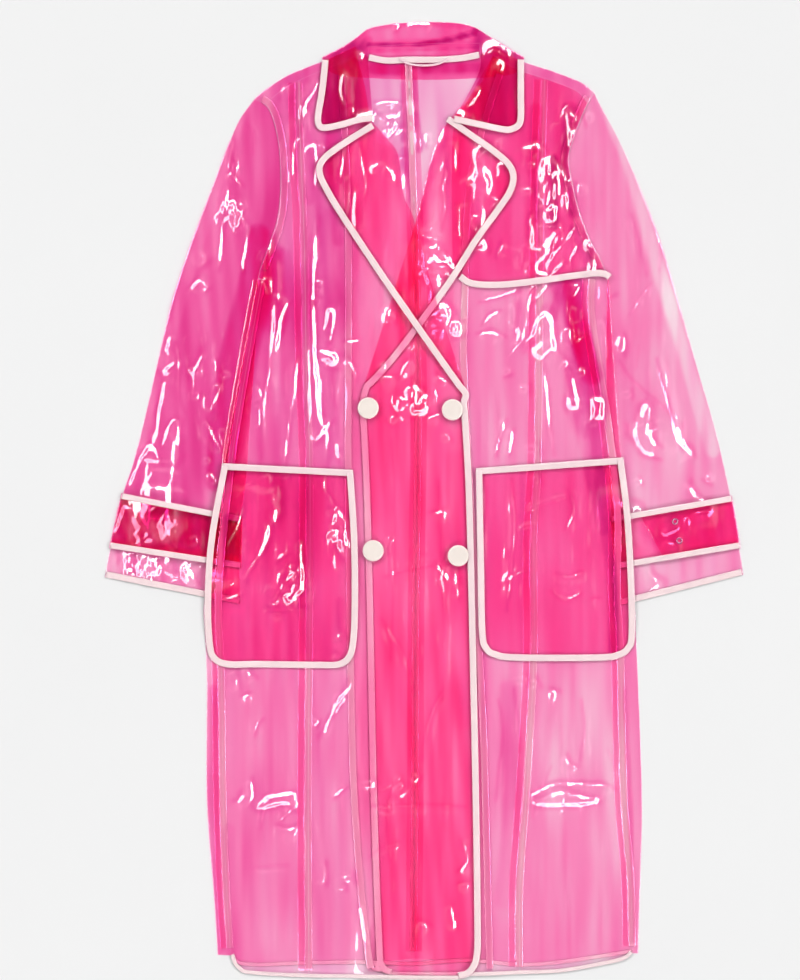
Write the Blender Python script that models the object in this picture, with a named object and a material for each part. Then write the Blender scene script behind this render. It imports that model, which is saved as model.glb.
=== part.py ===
"""Double-breasted trench raincoat in clear vinyl film, laid flat on its back.

The coat is drawn as a cutter would draw it: flat outlines on one plan, in
millimetres, x to the wearer's left of the centre line and y up from the front
hem. Each layer of film is then laid on those below it. Heights are kept at the
nodes of one triangle lattice, so layers that lie on each other bend along the
same lines and stay GAP apart everywhere. Film that goes round an edge, at the
sides, shoulders, collar, sleeves and cuff straps, is one wall with a fold.
"""

from math import cos, hypot, pi, sin

import bmesh
import bpy
import numpy as np
from mathutils.geometry import delaunay_2d_cdt

# Driving sizes, in millimetres.
WALL = 1.0            # every film, binding and tape wall
GAP = 0.3             # clearance between neighbours
BINDING = 9.6         # width of an edge binding as worn
TAPE = 8.0            # width of a seam tape
HEM = 7.5             # width of the hem bindings
CELL = (56.0, 72.0)   # lattice cell, x and y
SAMPLE = 1.5          # step at which overlaps between outlines are looked for
SNAP = 0.02           # points closer than this are one point
CHORD = 0.4           # a drawn line may leave its smooth curve by this much
BUTTON_D = 25.5
BUTTON_T = 4.2
EYELET_D = 8.0
EYELET_HOLE = 3.6
EYELET_T = 1.2
LOOP = 2.6            # width of the hanger loop
STRAP_EASE = 1.8      # a cuff strap stands this far outside the sleeve's folds

# Side of the body. height: y; fold: x of the outer fold; seam: x of the side seam.
SIDE = {
    "right": ((839, -199, -194), (728, -220, -214), (619, -239, -231), (467, -262, -246), (359, -260, -243),
              (215, -260, -241), (107, -252, -237), (29, -247, -232)),
    "left": ((842, 221, 202), (790, 224, 202), (660, 233, 222), (560, 243, 232), (467, 251, 232),
             (391, 255, 236), (224, 261, 240), (121, 259, 248), (31, 256, 250)),
}

# Armhole, from shoulder to underarm.
ARMHOLE = {
    "right": ((-203, 1056), (-187, 1045), (-178, 1021), (-173, 989), (-172, 947), (-176, 911), (-187, 877),
              (-196, 853), (-199, 839)),
    "left": ((204, 1063), (194, 1045), (184, 1021), (174, 989), (176, 965), (184, 929), (197, 892), (211, 865),
             (221, 842)),
}

# Shoulder fold, from armhole to neck point, and the seam a little in front of it.
SHOULDER = {
    "right": ((-203, 1056), (-185, 1070), (-161, 1085), (-119, 1102), (-82, 1119)),
    "left": ((204, 1063), (187, 1076), (157, 1088), (115, 1102), (84, 1120)),
}
SHOULDER_SEAM = {
    "right": ((-191, 1048), (-179, 1060), (-157, 1075), (-116, 1093), (-80, 1108)),
    "left": ((197, 1051), (183, 1066), (154, 1078), (112, 1092), (82, 1109)),
}

# Princess seam, from the shoulder seam to the hem.
PRINCESS = {
    "right": ((-150, 1078), (-149, 1019), (-145, 922), (-143, 858), (-141, 724), (-137, 623), (-137, 455),
              (-138, 335), (-139, 215), (-138, 2)),
    "left": ((145, 1081), (141, 959), (139, 818), (137, 625), (132, 527), (132, 389), (124, 238), (115, 108),
             (115, 6)),
}

# Centre-back seam and the neck seam, which runs from neck point to neck point.
CENTRE_BACK = ((-13, 25), (-11, 215), (-10, 455), (-7, 695), (-12, 925), (-19, 1103))
NECK_SEAM = ((-82, 1119), (-67, 1106), (-45, 1102), (-19, 1103), (15, 1103), (45, 1105), (67, 1109), (84, 1120))
NECK_MIDDLE = 3       # the point of NECK_SEAM where the centre-back seam meets it

# Roll line, where the lapel turns out: from the neck down to the break.
ROLL = {
    "right": ((-64, 1031), (-46, 1010), (-31, 989), (-24, 940), (-12, 911), (13, 820), (52, 703)),
    "left": ((31, 1033), (20, 1014), (11, 991), (1, 953), (-8, 916), (-40, 814), (-74, 707)),
}
FRONT_NECK = {
    "right": ((-80, 1108), (-70, 1070)),
    "left": ((82, 1109), (70, 1078), (49, 1052)),
}
# Front edge from the break down, round the corner at the foot, and on along the hem to the side.
FRONT_EDGE = {
    "right": ((52, 700), (55, 575), (58, 455), (61, 215), (64, 35), (62, 14), (56, 4), (46, 0)),
    "left": ((-79, 695), (-74, 599), (-70, 455), (-65, 215), (-58, 30), (-55, 15), (-49, 7), (-40, 4)),
}
FRONT_HEM = {
    "right": ((0, 0), (-53, 1), (-138, 2), (-209, 6), (-223, 12), (-229, 19), (-232, 29)),
    "left": ((0, 4), (65, 4), (115, 6), (163, 8), (211, 16), (240, 23), (250, 31)),
}
BACK_HEM = {
    "right": ((-232, 28), (-130, 26), (-13, 25)),
    "left": ((-13, 25), (130, 27), (250, 31)),
}

# Inner edge of each facing, from the shoulder seam to the hem.
FACING = {
    "right": ((-104, 1095), (-95, 911), (-95, 623), (-92, 373), (-88, 224), (-78, 90), (-68, 9)),
    "left": ((98, 1096), (60, 960), (53, 815), (53, 706), (71, 380), (76, 277), (83, 9)),
}

# Outer edge of each lapel, from the notch round the point to the break.
LAPEL = {
    "right": ((-64, 1028), (-95, 1009), (-121, 990), (-129, 978), (-129, 962), (-113, 931), (-86, 889), (-54, 841),
              (-23, 796), (10, 749), (40, 707), (48, 697)),
    "left": ((31, 1036), (61, 1015), (89, 995), (106, 979), (112, 962), (107, 942), (91, 918), (67, 885),
             (44, 848), (25, 820), (-5, 779), (-35, 740), (-66, 706), (-73, 699)),
}

# Collar: the roll along the top, the two leaves, and the edges that the roll hides.
COLLAR_ROLL = ((-122, 1105), (-95, 1119), (-75, 1134), (-64, 1141), (-35, 1146), (0, 1148), (37, 1147),
               (60, 1142), (75, 1133), (96, 1119), (120, 1105))
LEAF_EDGE = {
    "right": ((-122, 1105), (-126, 1067), (-131, 1036), (-130, 1024), (-124, 1018), (-113, 1018), (-95, 1022),
              (-77, 1027), (-61, 1029)),
    "left": ((120, 1105), (120, 1060), (120, 1034), (117, 1023), (109, 1017), (97, 1015), (67, 1021), (35, 1028)),
}
LEAF_ROLL = {
    "right": ((-62, 1039), (-64, 1064), (-67, 1100), (-67, 1119)),
    "left": ((37, 1035), (49, 1055), (62, 1079), (68, 1097), (67, 1123)),
}
STAND_SEAM = ((-67, 1119), (-29, 1121), (19, 1123), (67, 1123))
COLLAR_FALL = ((117, 1096), (98, 1084), (0, 1079), (-98, 1084), (-119, 1096))

# Gun flap on the left shoulder: inner edge, then the lower edge to the underarm.
FLAP_INNER = ((76, 1098), (50, 1052), (34, 1018), (33, 880), (37, 850))
FLAP_FOOT = ((41, 840), (56, 831), (91, 829), (139, 834), (180, 840), (211, 843), (220, 839))

# Patch pockets: mouth, then round the rest of the edge.
POCKET_MOUTH = {
    "right": ((-242, 619), (-85, 611)),
    "left": ((62, 613), (239, 626)),
}
POCKET_EDGE = {
    "right": ((-85, 611), (-80, 530), (-79, 455), (-81, 405), (-87, 384), (-101, 374), (-130, 373), (-200, 374),
              (-236, 374), (-254, 382), (-261, 401), (-263, 455), (-258, 530), (-242, 619)),
    "left": ((239, 626), (247, 560), (252, 479), (253, 412), (248, 395), (236, 386), (210, 382), (110, 382),
             (86, 386), (74, 398), (69, 420), (65, 503), (62, 613)),
}

# Sleeve: outer fold from shoulder to cuff, inner fold from underarm to cuff.
SLEEVE_OUTER = {
    "right": ((-203, 1056), (-221, 1031), (-234, 1001), (-257, 940), (-281, 875), (-305, 798), (-344, 635),
              (-363, 574), (-383, 482)),
    "left": ((204, 1063), (211, 1049), (235, 1003), (259, 947), (283, 883), (307, 803), (328, 731), (349, 659),
             (368, 575), (383, 485)),
}
SLEEVE_INNER = {
    "right": ((-199, 839), (-203, 755), (-209, 671), (-214, 599), (-221, 551), (-222, 503), (-221, 450)),
    "left": ((221, 842), (219, 755), (221, 659), (224, 575), (230, 503), (235, 448)),
}
# Cuff strap: heights of its upper and lower edge at the outer and at the inner fold, and the end of the tab.
STRAP = {
    "right": {"upper": (583, 555), "lower": (517, 493), "tab": ((-238, 557), (-246, 498))},
    "left": {"upper": (580, 555), "lower": (517, 492), "tab": ((258, 558), (288, 503))},
}
HANGER = ((-30, 1104), (-18, 1098), (0, 1096), (17, 1098), (29, 1104))

# Covered buttons and eyelets. name: node; x, y: centre.
BUTTONS = (("button_1", -67, 685), ("button_2", 34, 683), ("button_3", -61, 514), ("button_4", 41, 508))
EYELETS = (("eyelet_upper", 301, 549), ("eyelet_lower", 306, 526))

# Air under the film: soft ridges along a line.
# layer, x0, y0, x1, y1, half width, height
RIDGES = (
    ("sleeve_top", -225, 990, -300, 640, 70, 2.4),
    ("sleeve_top", -300, 640, -300, 480, 60, 1.8),
    ("sleeve_top", 228, 990, 296, 640, 70, 2.4),
    ("sleeve_top", 296, 640, 305, 480, 60, 1.8),
    ("front_right", -196, 850, -150, 690, 40, 2.6),
    ("front_right", -185, 640, -190, 60, 60, 1.6),
    ("front_right", -110, 960, -110, 640, 40, 1.6),
    ("front_left", 212, 860, 150, 700, 42, 2.6),
    ("front_left", 180, 640, 185, 60, 60, 1.6),
    ("front_left", 95, 216, 235, 216, 34, 2.2),
    ("pocket", -170, 600, -170, 420, 60, 1.4),
    ("pocket", 155, 600, 155, 420, 60, 1.4),
    ("lapel_right", -60, 990, -20, 840, 50, 2.6),
    ("lapel_left", 60, 980, 20, 870, 45, 2.6),
    ("collar", -98, 1090, -98, 1040, 45, 2.4),
    ("collar", 92, 1090, 85, 1040, 45, 2.4),
)

FILM = (0.90, 0.13, 0.38)
DOUBLE_FILM = (0.74, 0.01, 0.16)
BOUND = (0.86, 0.72, 0.70)
TAPED = (0.93, 0.42, 0.60)
METAL = (0.45, 0.40, 0.42)
SIDES = ("right", "left")


# ---- Plan geometry ---------------------------------------------------------

def curve(points, parts=3):
    """A smooth line through the points, with each stretch cut into parts and the needless ones left out."""
    ends = [points[0]] + list(points) + [points[-1]]
    line = []
    for a, b, c, d in zip(ends, ends[1:], ends[2:], ends[3:]):
        for k in range(parts):
            t = k / parts
            line.append(tuple(
                0.5 * (2 * b[i] + (c[i] - a[i]) * t + (2 * a[i] - 5 * b[i] + 4 * c[i] - d[i]) * t * t
                       + (3 * b[i] - a[i] - 3 * c[i] + d[i]) * t ** 3)
                for i in (0, 1)))
    line.append(tuple(map(float, points[-1])))
    return thinned(line)


def thinned(line):
    """The line without the points that lie within CHORD of the straight between their neighbours."""
    (x0, y0), (x1, y1) = line[0], line[-1]
    length = hypot(x1 - x0, y1 - y0)
    off = [abs((x - x0) * (y1 - y0) - (y - y0) * (x1 - x0)) / length for x, y in line]
    far = off.index(max(off))
    if off[far] <= CHORD:
        return [line[0], line[-1]]
    return thinned(line[:far + 1])[:-1] + thinned(line[far:])


def area(outline):
    """Signed area: positive when the outline runs counterclockwise."""
    return 0.5 * sum(p[0] * q[1] - q[0] * p[1] for p, q in zip(outline, outline[1:] + outline[:1]))


def closed(*lines):
    """One counterclockwise outline from lines that follow each other."""
    outline = []
    for line in lines:
        for point in line:
            if not outline or hypot(point[0] - outline[-1][0], point[1] - outline[-1][1]) > SNAP:
                outline.append(point)
    if hypot(outline[0][0] - outline[-1][0], outline[0][1] - outline[-1][1]) <= SNAP:
        outline.pop()
    return outline if area(outline) > 0 else outline[::-1]


def beside(line, distance):
    """The line moved to its left by distance, with mitred corners."""
    moved = []
    for k, (x, y) in enumerate(line):
        before = line[max(k - 1, 0)]
        after = line[min(k + 1, len(line) - 1)]
        steps = [(q[0] - p[0], q[1] - p[1]) for p, q in ((before, (x, y)), ((x, y), after)) if p != q]
        normals = [(-dy / hypot(dx, dy), dx / hypot(dx, dy)) for dx, dy in steps]
        nx = sum(n[0] for n in normals) / len(normals)
        ny = sum(n[1] for n in normals) / len(normals)
        scale = distance / max(nx * nx + ny * ny, 0.4)
        moved.append((x + nx * scale, y + ny * scale))
    return moved


def distance_to(point, line):
    """Shortest distance from a point to a line."""
    best = None
    for (x0, y0), (x1, y1) in zip(line, line[1:]):
        dx = x1 - x0
        dy = y1 - y0
        t = ((point[0] - x0) * dx + (point[1] - y0) * dy) / (dx * dx + dy * dy)
        t = min(max(t, 0.0), 1.0)
        off = hypot(point[0] - x0 - t * dx, point[1] - y0 - t * dy)
        best = off if best is None else min(best, off)
    return best


def strip(line, left, right=0.0):
    """Outline of a band along a line, reaching left and right of it, with no crowded inner corners."""
    sides = []
    for distance in (left, -right):
        moved = beside(line, distance)
        sides.append([p for p in moved if distance_to(p, line) > 0.93 * abs(distance) - SNAP])
    return closed(sides[0], sides[1][::-1])


def trim(line, start, end=0.0):
    """The line with a length cut off each end."""
    cut_line = list(line)
    for length in (start, end):
        left = length
        while left > 0:
            (x0, y0), (x1, y1) = cut_line[0], cut_line[1]
            step = hypot(x1 - x0, y1 - y0)
            if step <= left:
                cut_line.pop(0)
                left -= step
            else:
                cut_line[0] = (x0 + (x1 - x0) * left / step, y0 + (y1 - y0) * left / step)
                left = 0
        cut_line.reverse()
    return cut_line


def inset(outline, distance=GAP):
    """A counterclockwise outline drawn in by distance on all sides."""
    ring = [outline[-1]] + outline + [outline[0]]
    return beside(ring, distance)[1:-1]


def inside(outline, x, y):
    """Which of the points x, y lie inside the outline."""
    hit = np.zeros(x.shape, bool)
    for (x0, y0), (x1, y1) in zip(outline, outline[1:] + outline[:1]):
        if y0 != y1:
            hit ^= ((y0 > y) != (y1 > y)) & (x < (x1 - x0) * (y - y0) / (y1 - y0) + x0)
    return hit


def on_line(point, line):
    """Length along the line at the point, or None when the point is off it."""
    run = 0.0
    for (x0, y0), (x1, y1) in zip(line, line[1:]):
        length = hypot(x1 - x0, y1 - y0)
        along = ((point[0] - x0) * (x1 - x0) + (point[1] - y0) * (y1 - y0)) / length
        off = abs((point[0] - x0) * (y1 - y0) - (point[1] - y0) * (x1 - x0)) / length
        if off < SNAP and -SNAP <= along <= length + SNAP:
            return run + min(max(along, 0.0), length)
        run += length
    return None


# ---- The lattice that carries every height ---------------------------------

class Lattice:
    """Triangle lattice over the whole plan. Heights are straight inside each triangle."""

    def __init__(self, x_reach, y_low, y_high):
        self.nx = int(2 * x_reach / CELL[0]) + 2
        self.ny = int((y_high - y_low) / CELL[1]) + 2
        self.x0 = -0.5 * self.nx * CELL[0]
        self.y0 = y_low - 0.5 * (self.ny * CELL[1] - (y_high - y_low))
        xs = np.arange(self.x0 + SAMPLE / 2, self.x0 + self.nx * CELL[0], SAMPLE)
        ys = np.arange(self.y0 + SAMPLE / 2, self.y0 + self.ny * CELL[1], SAMPLE)
        self.sx, self.sy = np.meshgrid(xs, ys, indexing="ij")
        u = (self.sx - self.x0) / CELL[0]
        v = (self.sy - self.y0) / CELL[1]
        i = u.astype(int)
        j = v.astype(int)
        self.triangle = 2 * (i * self.ny + j) + ((u - i) > (v - j))

    def corners(self, triangles):
        """Node indices (i, j) of the given triangles."""
        cell = triangles // 2
        i = cell // self.ny
        j = cell % self.ny
        lower = triangles % 2 == 1
        ii = np.concatenate([i, i + 1, i + lower])
        jj = np.concatenate([j, j + 1, j + ~lower])
        return ii, jj

    def node(self, i, j):
        return (self.x0 + i * CELL[0], self.y0 + j * CELL[1])

    def height(self, field, x, y):
        """Height of a field at one point of the plan."""
        u = (x - self.x0) / CELL[0]
        v = (y - self.y0) / CELL[1]
        i = int(u)
        j = int(v)
        a = u - i
        b = v - j
        low = field[i, j]
        high = field[i + 1, j + 1]
        if a > b:
            return low * (1 - a) + field[i + 1, j] * (a - b) + high * b
        return low * (1 - b) + field[i, j + 1] * (b - a) + high * a

    def ridge(self, x0, y0, x1, y1, half_width, rise):
        """A soft ridge along a line, as a lift at every node."""
        i, j = np.meshgrid(np.arange(self.nx + 1), np.arange(self.ny + 1), indexing="ij")
        x = self.x0 + i * CELL[0]
        y = self.y0 + j * CELL[1]
        length2 = (x1 - x0) ** 2 + (y1 - y0) ** 2
        t = np.clip(((x - x0) * (x1 - x0) + (y - y0) * (y1 - y0)) / length2, 0, 1)
        off = np.hypot(x - x0 - t * (x1 - x0), y - y0 - t * (y1 - y0))
        return rise * np.cos(0.5 * pi * np.clip(off / half_width, 0, 1)) ** 2


class Pile:
    """Layers laid on each other in order, each with a lower and an upper height field."""

    def __init__(self, lattice):
        self.lattice = lattice
        self.layers = {}

    def lay(self, name, outlines, ridge=None):
        """Lay one layer of wall on all that it covers."""
        lattice = self.lattice
        cover = np.zeros(lattice.sx.shape, bool)
        for outline in outlines:
            cover |= inside(outline, lattice.sx, lattice.sy)
        low = np.zeros((lattice.nx + 1, lattice.ny + 1))
        for other in self.layers.values():
            met = np.unique(lattice.triangle[cover & other["cover"]])
            if met.size:
                ii, jj = lattice.corners(met)
                np.maximum.at(low, (ii, jj), other["high"][ii, jj] + GAP)
        lift = np.zeros(low.shape)
        for layer, *row in RIDGES:
            if layer == (ridge or name):
                lift = np.maximum(lift, lattice.ridge(*row))
        low = low + lift
        self.layers[name] = {"cover": cover, "low": low, "high": low + WALL}

    def low(self, name, x, y):
        return self.lattice.height(self.layers[name]["low"], x, y)

    def top(self, outline):
        """Highest film under a small outline, for what is set on it level."""
        lattice = self.lattice
        under = inside(outline, lattice.sx, lattice.sy)
        best = 0.0
        for layer in self.layers.values():
            met = under & layer["cover"]
            for x, y in zip(lattice.sx[met], lattice.sy[met]):
                best = max(best, lattice.height(layer["high"], x, y))
        return best


# ---- Solids ----------------------------------------------------------------

def cut(lattice, outline):
    """Cut the lattice to an outline: points, triangles and the directed border edges."""
    xs = [p[0] for p in outline]
    ys = [p[1] for p in outline]
    i0 = int((min(xs) - lattice.x0) / CELL[0])
    i1 = int((max(xs) - lattice.x0) / CELL[0]) + 1
    j0 = int((min(ys) - lattice.y0) / CELL[1])
    j1 = int((max(ys) - lattice.y0) / CELL[1]) + 1
    points = list(outline)
    index = {}
    for i in range(i0, i1 + 1):
        for j in range(j0, j1 + 1):
            index[i, j] = len(points)
            points.append(lattice.node(i, j))
    lines = []
    for (i, j), here in index.items():
        for step in ((1, 0), (0, 1), (1, 1)):
            there = index.get((i + step[0], j + step[1]))
            if there is not None:
                lines.append((here, there))
    ring = list(range(len(outline)))
    made, _, faces, _, _, source = delaunay_2d_cdt(points, lines, [ring], 0, SNAP)
    kept = [tuple(f) for f, origin in zip(faces, source) if origin]
    used = sorted({v for f in kept for v in f})
    number = {v: k for k, v in enumerate(used)}
    points = [(made[v][0], made[v][1]) for v in used]
    faces = [tuple(number[v] for v in f) for f in kept]
    edges = {(f[k], f[(k + 1) % 3]) for f in faces for k in range(3)}
    border = [(a, b) for a, b in edges if (b, a) not in edges]
    return points, faces, border


def shift_inwards(points, order, border):
    """New plan places, one wall further in, for the border points along a fold."""
    before = {b: a for a, b in border}
    after = {a: b for a, b in border}
    moved = {}
    for k, v in enumerate(order):
        x, y = points[v]
        if k in (0, len(order) - 1):
            inner = order[1] if k == 0 else order[-2]
            beyond = after[v] if before[v] == inner else before[v]
            dx = points[beyond][0] - x
            dy = points[beyond][1] - y
            reach = min(WALL, 0.5 * hypot(dx, dy)) / hypot(dx, dy)
            moved[v] = (x + dx * reach, y + dy * reach)
        else:
            a = points[before[v]]
            b = points[after[v]]
            length = hypot(b[0] - a[0], b[1] - a[1])
            moved[v] = (x - (b[1] - a[1]) / length * WALL, y + (b[0] - a[0]) / length * WALL)
    return moved


def wall(name, pile, regions, folds=(), material=None):
    """A closed wall. regions: (outline, layer); folds: (lower region, upper region, line)."""
    lattice = pile.lattice
    mesh = bmesh.new()
    sheets = []
    for outline, layer in regions:
        points, faces, border = cut(lattice, outline)
        sheets.append({"points": points, "faces": faces, "border": border, "layer": layer, "free": set(border),
                       "under": dict(enumerate(points)), "over": dict(enumerate(points))})
    joins = []
    for lower, upper, line in folds:
        orders = []
        for sheet, face in ((sheets[lower], "over"), (sheets[upper], "under")):
            along = {v: on_line(sheet["points"][v], line) for edge in sheet["border"] for v in edge}
            order = sorted((v for v in along if along[v] is not None), key=along.get)
            pairs = {frozenset(p) for p in zip(order, order[1:])}
            sheet["free"] -= {edge for edge in sheet["free"] if frozenset(edge) in pairs}
            sheet[face].update(shift_inwards(sheet["points"], order, sheet["border"]))
            orders.append(order)
        if len(orders[0]) != len(orders[1]):
            raise ValueError(f"{name}: fold points differ, {len(orders[0])} and {len(orders[1])}")
        joins.append((lower, upper, orders))
    for sheet in sheets:
        for face, rise in (("under", 0.0), ("over", WALL)):
            sheet[face] = [mesh.verts.new((x, y, pile.low(sheet["layer"], x, y) + rise))
                           for _, (x, y) in sorted(sheet[face].items())]
        for a, b, c in sheet["faces"]:
            mesh.faces.new([sheet["over"][v] for v in (a, b, c)])
            mesh.faces.new([sheet["under"][v] for v in (c, b, a)])
        for a, b in sheet["free"]:
            mesh.faces.new([sheet["under"][a], sheet["under"][b], sheet["over"][b], sheet["over"][a]])
    for lower, upper, (low_order, high_order) in joins:
        outer_low = [sheets[lower]["under"][v] for v in low_order]
        inner_low = [sheets[lower]["over"][v] for v in low_order]
        inner_high = [sheets[upper]["under"][v] for v in high_order]
        outer_high = [sheets[upper]["over"][v] for v in high_order]
        for low, high in ((outer_low, outer_high), (inner_low, inner_high)):
            for k in range(len(low) - 1):
                mesh.faces.new([low[k], low[k + 1], high[k + 1], high[k]])
        for k in (0, -1):
            mesh.faces.new([outer_low[k], inner_low[k], inner_high[k], outer_high[k]])
    return finish(name, mesh, material)


def turned(name, profile, x, y, z, sides, material):
    """A closed ring or disc turned about an upright axis. profile: (radius, height) rows."""
    mesh = bmesh.new()
    rings = []
    for radius, height in profile:
        if radius == 0:
            rings.append([mesh.verts.new((x, y, z + height))])
        else:
            rings.append([mesh.verts.new((x + radius * cos(2 * pi * k / sides), y + radius * sin(2 * pi * k / sides),
                                          z + height)) for k in range(sides)])
    whole = profile[0][0] > 0 and profile[-1][0] > 0
    pairs = list(zip(rings, rings[1:])) + ([(rings[-1], rings[0])] if whole else [])
    for low, high in pairs:
        for k in range(sides):
            corner = [low[k % len(low)], low[(k + 1) % len(low)], high[(k + 1) % len(high)], high[k % len(high)]]
            mesh.faces.new(list(dict.fromkeys(corner)))
    return finish(name, mesh, material)


def finish(name, mesh, material):
    """Turn a bmesh in plan millimetres into an object in metres on the part's own origin."""
    bmesh.ops.recalc_face_normals(mesh, faces=mesh.faces)
    bmesh.ops.triangulate(mesh, faces=mesh.faces)
    bmesh.ops.translate(mesh, verts=mesh.verts, vec=(-ORIGIN[0], -ORIGIN[1], 0.0))
    bmesh.ops.scale(mesh, verts=mesh.verts, vec=(0.001, 0.001, 0.001))
    data = bpy.data.meshes.new(name)
    mesh.to_mesh(data)
    mesh.free()
    data.materials.append(material)
    item = bpy.data.objects.new(name, data)
    bpy.context.collection.objects.link(item)
    return item


def finish_material(name, color, roughness, metallic=0.0):
    """A plain Principled finish."""
    material = bpy.data.materials.new(name)
    material.use_nodes = True
    shader = material.node_tree.nodes["Principled BSDF"]
    shader.inputs["Base Color"].default_value = (*color, 1.0)
    shader.inputs["Roughness"].default_value = roughness
    shader.inputs["Metallic"].default_value = metallic
    return material


# ---- Outlines of the pieces ------------------------------------------------

def side_line(side, column):
    """Fold (column 1) or seam (column 2) of one side, from underarm to hem."""
    return [(row[column], row[0]) for row in SIDE[side]]


def back_outline(side):
    """One half of the back, as it lies on the floor."""
    if side == "right":
        hem = BACK_HEM["right"]
        neck = NECK_SEAM[:NECK_MIDDLE][::-1]
    else:
        hem = BACK_HEM["left"][::-1]
        neck = NECK_SEAM[NECK_MIDDLE + 1:]
    middle = beside(curve(CENTRE_BACK), 0.5 * GAP if side == "right" else -0.5 * GAP)
    return closed(hem[:-1], middle, neck, curve(SHOULDER[side])[::-1], ARMHOLE[side], side_line(side, 1))


def side_wrap(side):
    """The strip of back film that comes round the side to the side seam."""
    return closed(side_line(side, 1), side_line(side, 2)[::-1])


def shoulder_wrap(side):
    """The strip of back film that comes over the shoulder to the shoulder seam."""
    return closed(curve(SHOULDER[side]), curve(SHOULDER_SEAM[side])[::-1])


def front_side_outline(side):
    """Side front: shoulder seam, armhole, side seam, hem, princess seam."""
    seam = curve(SHOULDER_SEAM[side])
    princess = curve(PRINCESS[side])
    armhole = ARMHOLE[side][1:-1]
    reach = abs(princess[0][0])
    shoulder = [p for p in seam if abs(p[0]) > reach]
    hem = [p for p in FRONT_HEM[side] if abs(p[0]) > abs(princess[-1][0]) + 1]
    return inset(closed(shoulder[::-1], armhole, side_line(side, 2), hem[::-1], princess[::-1]))


def front_centre_outline(side):
    """Centre front: shoulder seam, neck, roll line, front edge, hem, princess seam."""
    seam = curve(SHOULDER_SEAM[side])
    princess = curve(PRINCESS[side])
    reach = abs(princess[0][0])
    shoulder = [p for p in seam if abs(p[0]) < reach]
    hem = [p for p in FRONT_HEM[side] if abs(p[0]) < abs(princess[-1][0]) - 1]
    return inset(closed(shoulder, FRONT_NECK[side][1:], curve(ROLL[side]), FRONT_EDGE[side], hem, princess[::-1]))


def facing_outline(side):
    """Facing strip under the front edge, from shoulder seam to hem."""
    rim = closed(FRONT_NECK[side], curve(ROLL[side]), FRONT_EDGE[side], [FRONT_HEM[side][0]],
                 curve(FACING[side])[::-1])
    return inset(rim, 2.0)


def lapel_outline(side):
    """Lapel turned out on the front, between the roll line and its bound edge."""
    return closed(curve(LAPEL[side]), ROLL[side][::-1])


def collar_outline():
    """Collar film that shows: both leaves and the strip inside the back neck."""
    return closed(COLLAR_ROLL, LEAF_EDGE["left"], LEAF_ROLL["left"], STAND_SEAM[::-1], LEAF_ROLL["right"][::-1],
                  LEAF_EDGE["right"][::-1])


def stand_outline():
    """Collar stand between the collar strip and the neck seam."""
    neck = NECK_SEAM[1:-1]
    return inset(closed(STAND_SEAM, neck[::-1]))


def flap_outline():
    """Gun flap: shoulder seam, armhole, foot, inner edge."""
    shoulder = [p for p in curve(SHOULDER_SEAM["left"]) if p[0] > FLAP_INNER[0][0]]
    armhole = ARMHOLE["left"][1:-1]
    return inset(closed(shoulder[::-1], armhole, FLAP_FOOT[::-1], FLAP_INNER[::-1]), 1.0)


def sleeve_outline(side):
    """Flattened sleeve, drawn back from the armhole by GAP."""
    armhole = beside(ARMHOLE[side], GAP if side == "left" else -GAP)
    outer = list(SLEEVE_OUTER[side])
    inner = list(SLEEVE_INNER[side])
    outer[0] = armhole[0]
    inner[0] = armhole[-1]
    return closed(armhole, inner, outer[::-1]), outer, inner


def x_at(line, y):
    """Where a line that runs downwards is at one height."""
    for (x0, y0), (x1, y1) in zip(line, line[1:]):
        if y0 >= y >= y1:
            return x0 + (x1 - x0) * (y0 - y) / (y0 - y1)
    raise ValueError(f"the line does not reach height {y}")


def strap_outline(side):
    """Cuff strap as it lies, standing a little outside the sleeve's folds, and its two fold lines."""
    out = STRAP_EASE if side == "left" else -STRAP_EASE
    edges = (STRAP[side]["upper"], STRAP[side]["lower"])
    outer = [(x_at(SLEEVE_OUTER[side], outer_y) + out, outer_y) for outer_y, _ in edges]
    inner = [(x_at(SLEEVE_INNER[side], inner_y) - out, inner_y) for _, inner_y in edges]
    return closed(outer, inner[::-1]), outer, inner


def tab_outline(side):
    """Free end of the cuff strap, lapped over it."""
    _, outer, _ = strap_outline(side)
    return inset(closed(outer, STRAP[side]["tab"][::-1]), 1.0)


def disc(x, y, diameter, sides=16):
    return [(x + 0.5 * diameter * cos(2 * pi * k / sides), y + 0.5 * diameter * sin(2 * pi * k / sides))
            for k in range(sides)]


def front_binding(side):
    """Binding along the lapel's edge, past the break and on down the front edge."""
    film = 0.5 * BINDING if side == "right" else -0.5 * BINDING
    middle = beside(curve(LAPEL[side])[:-2], film) + beside(list(FRONT_EDGE[side]), -film)
    return strip(middle, 0.5 * BINDING, 0.5 * BINDING)


def hem_binding(side):
    """Binding along the foot of one front, from the front edge to the side."""
    start = FRONT_EDGE[side][-1]
    line = trim([start, *FRONT_HEM[side]], 2 * GAP)
    return strip(line, 0.0, HEM) if side == "right" else strip(line, HEM)


def film_side(line, width, side):
    """Band of a width along a line, left of it on the right side of the coat and right of it on the left."""
    return strip(line, width) if side == "right" else strip(line, 0.0, width)


# ---- The coat --------------------------------------------------------------

for old in list(bpy.data.objects):
    bpy.data.objects.remove(old)

sleeves = {side: sleeve_outline(side) for side in SIDES}
straps = {side: strap_outline(side) for side in SIDES}
reach = [x for outline, _, _ in (*sleeves.values(), *straps.values()) for x, _ in outline]
heights = [y for _, y in (*COLLAR_ROLL, *FRONT_HEM["right"], *FRONT_EDGE["right"])]
ORIGIN = (0.5 * (min(reach) + max(reach)), 0.5 * (min(heights) + max(heights)))

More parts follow.
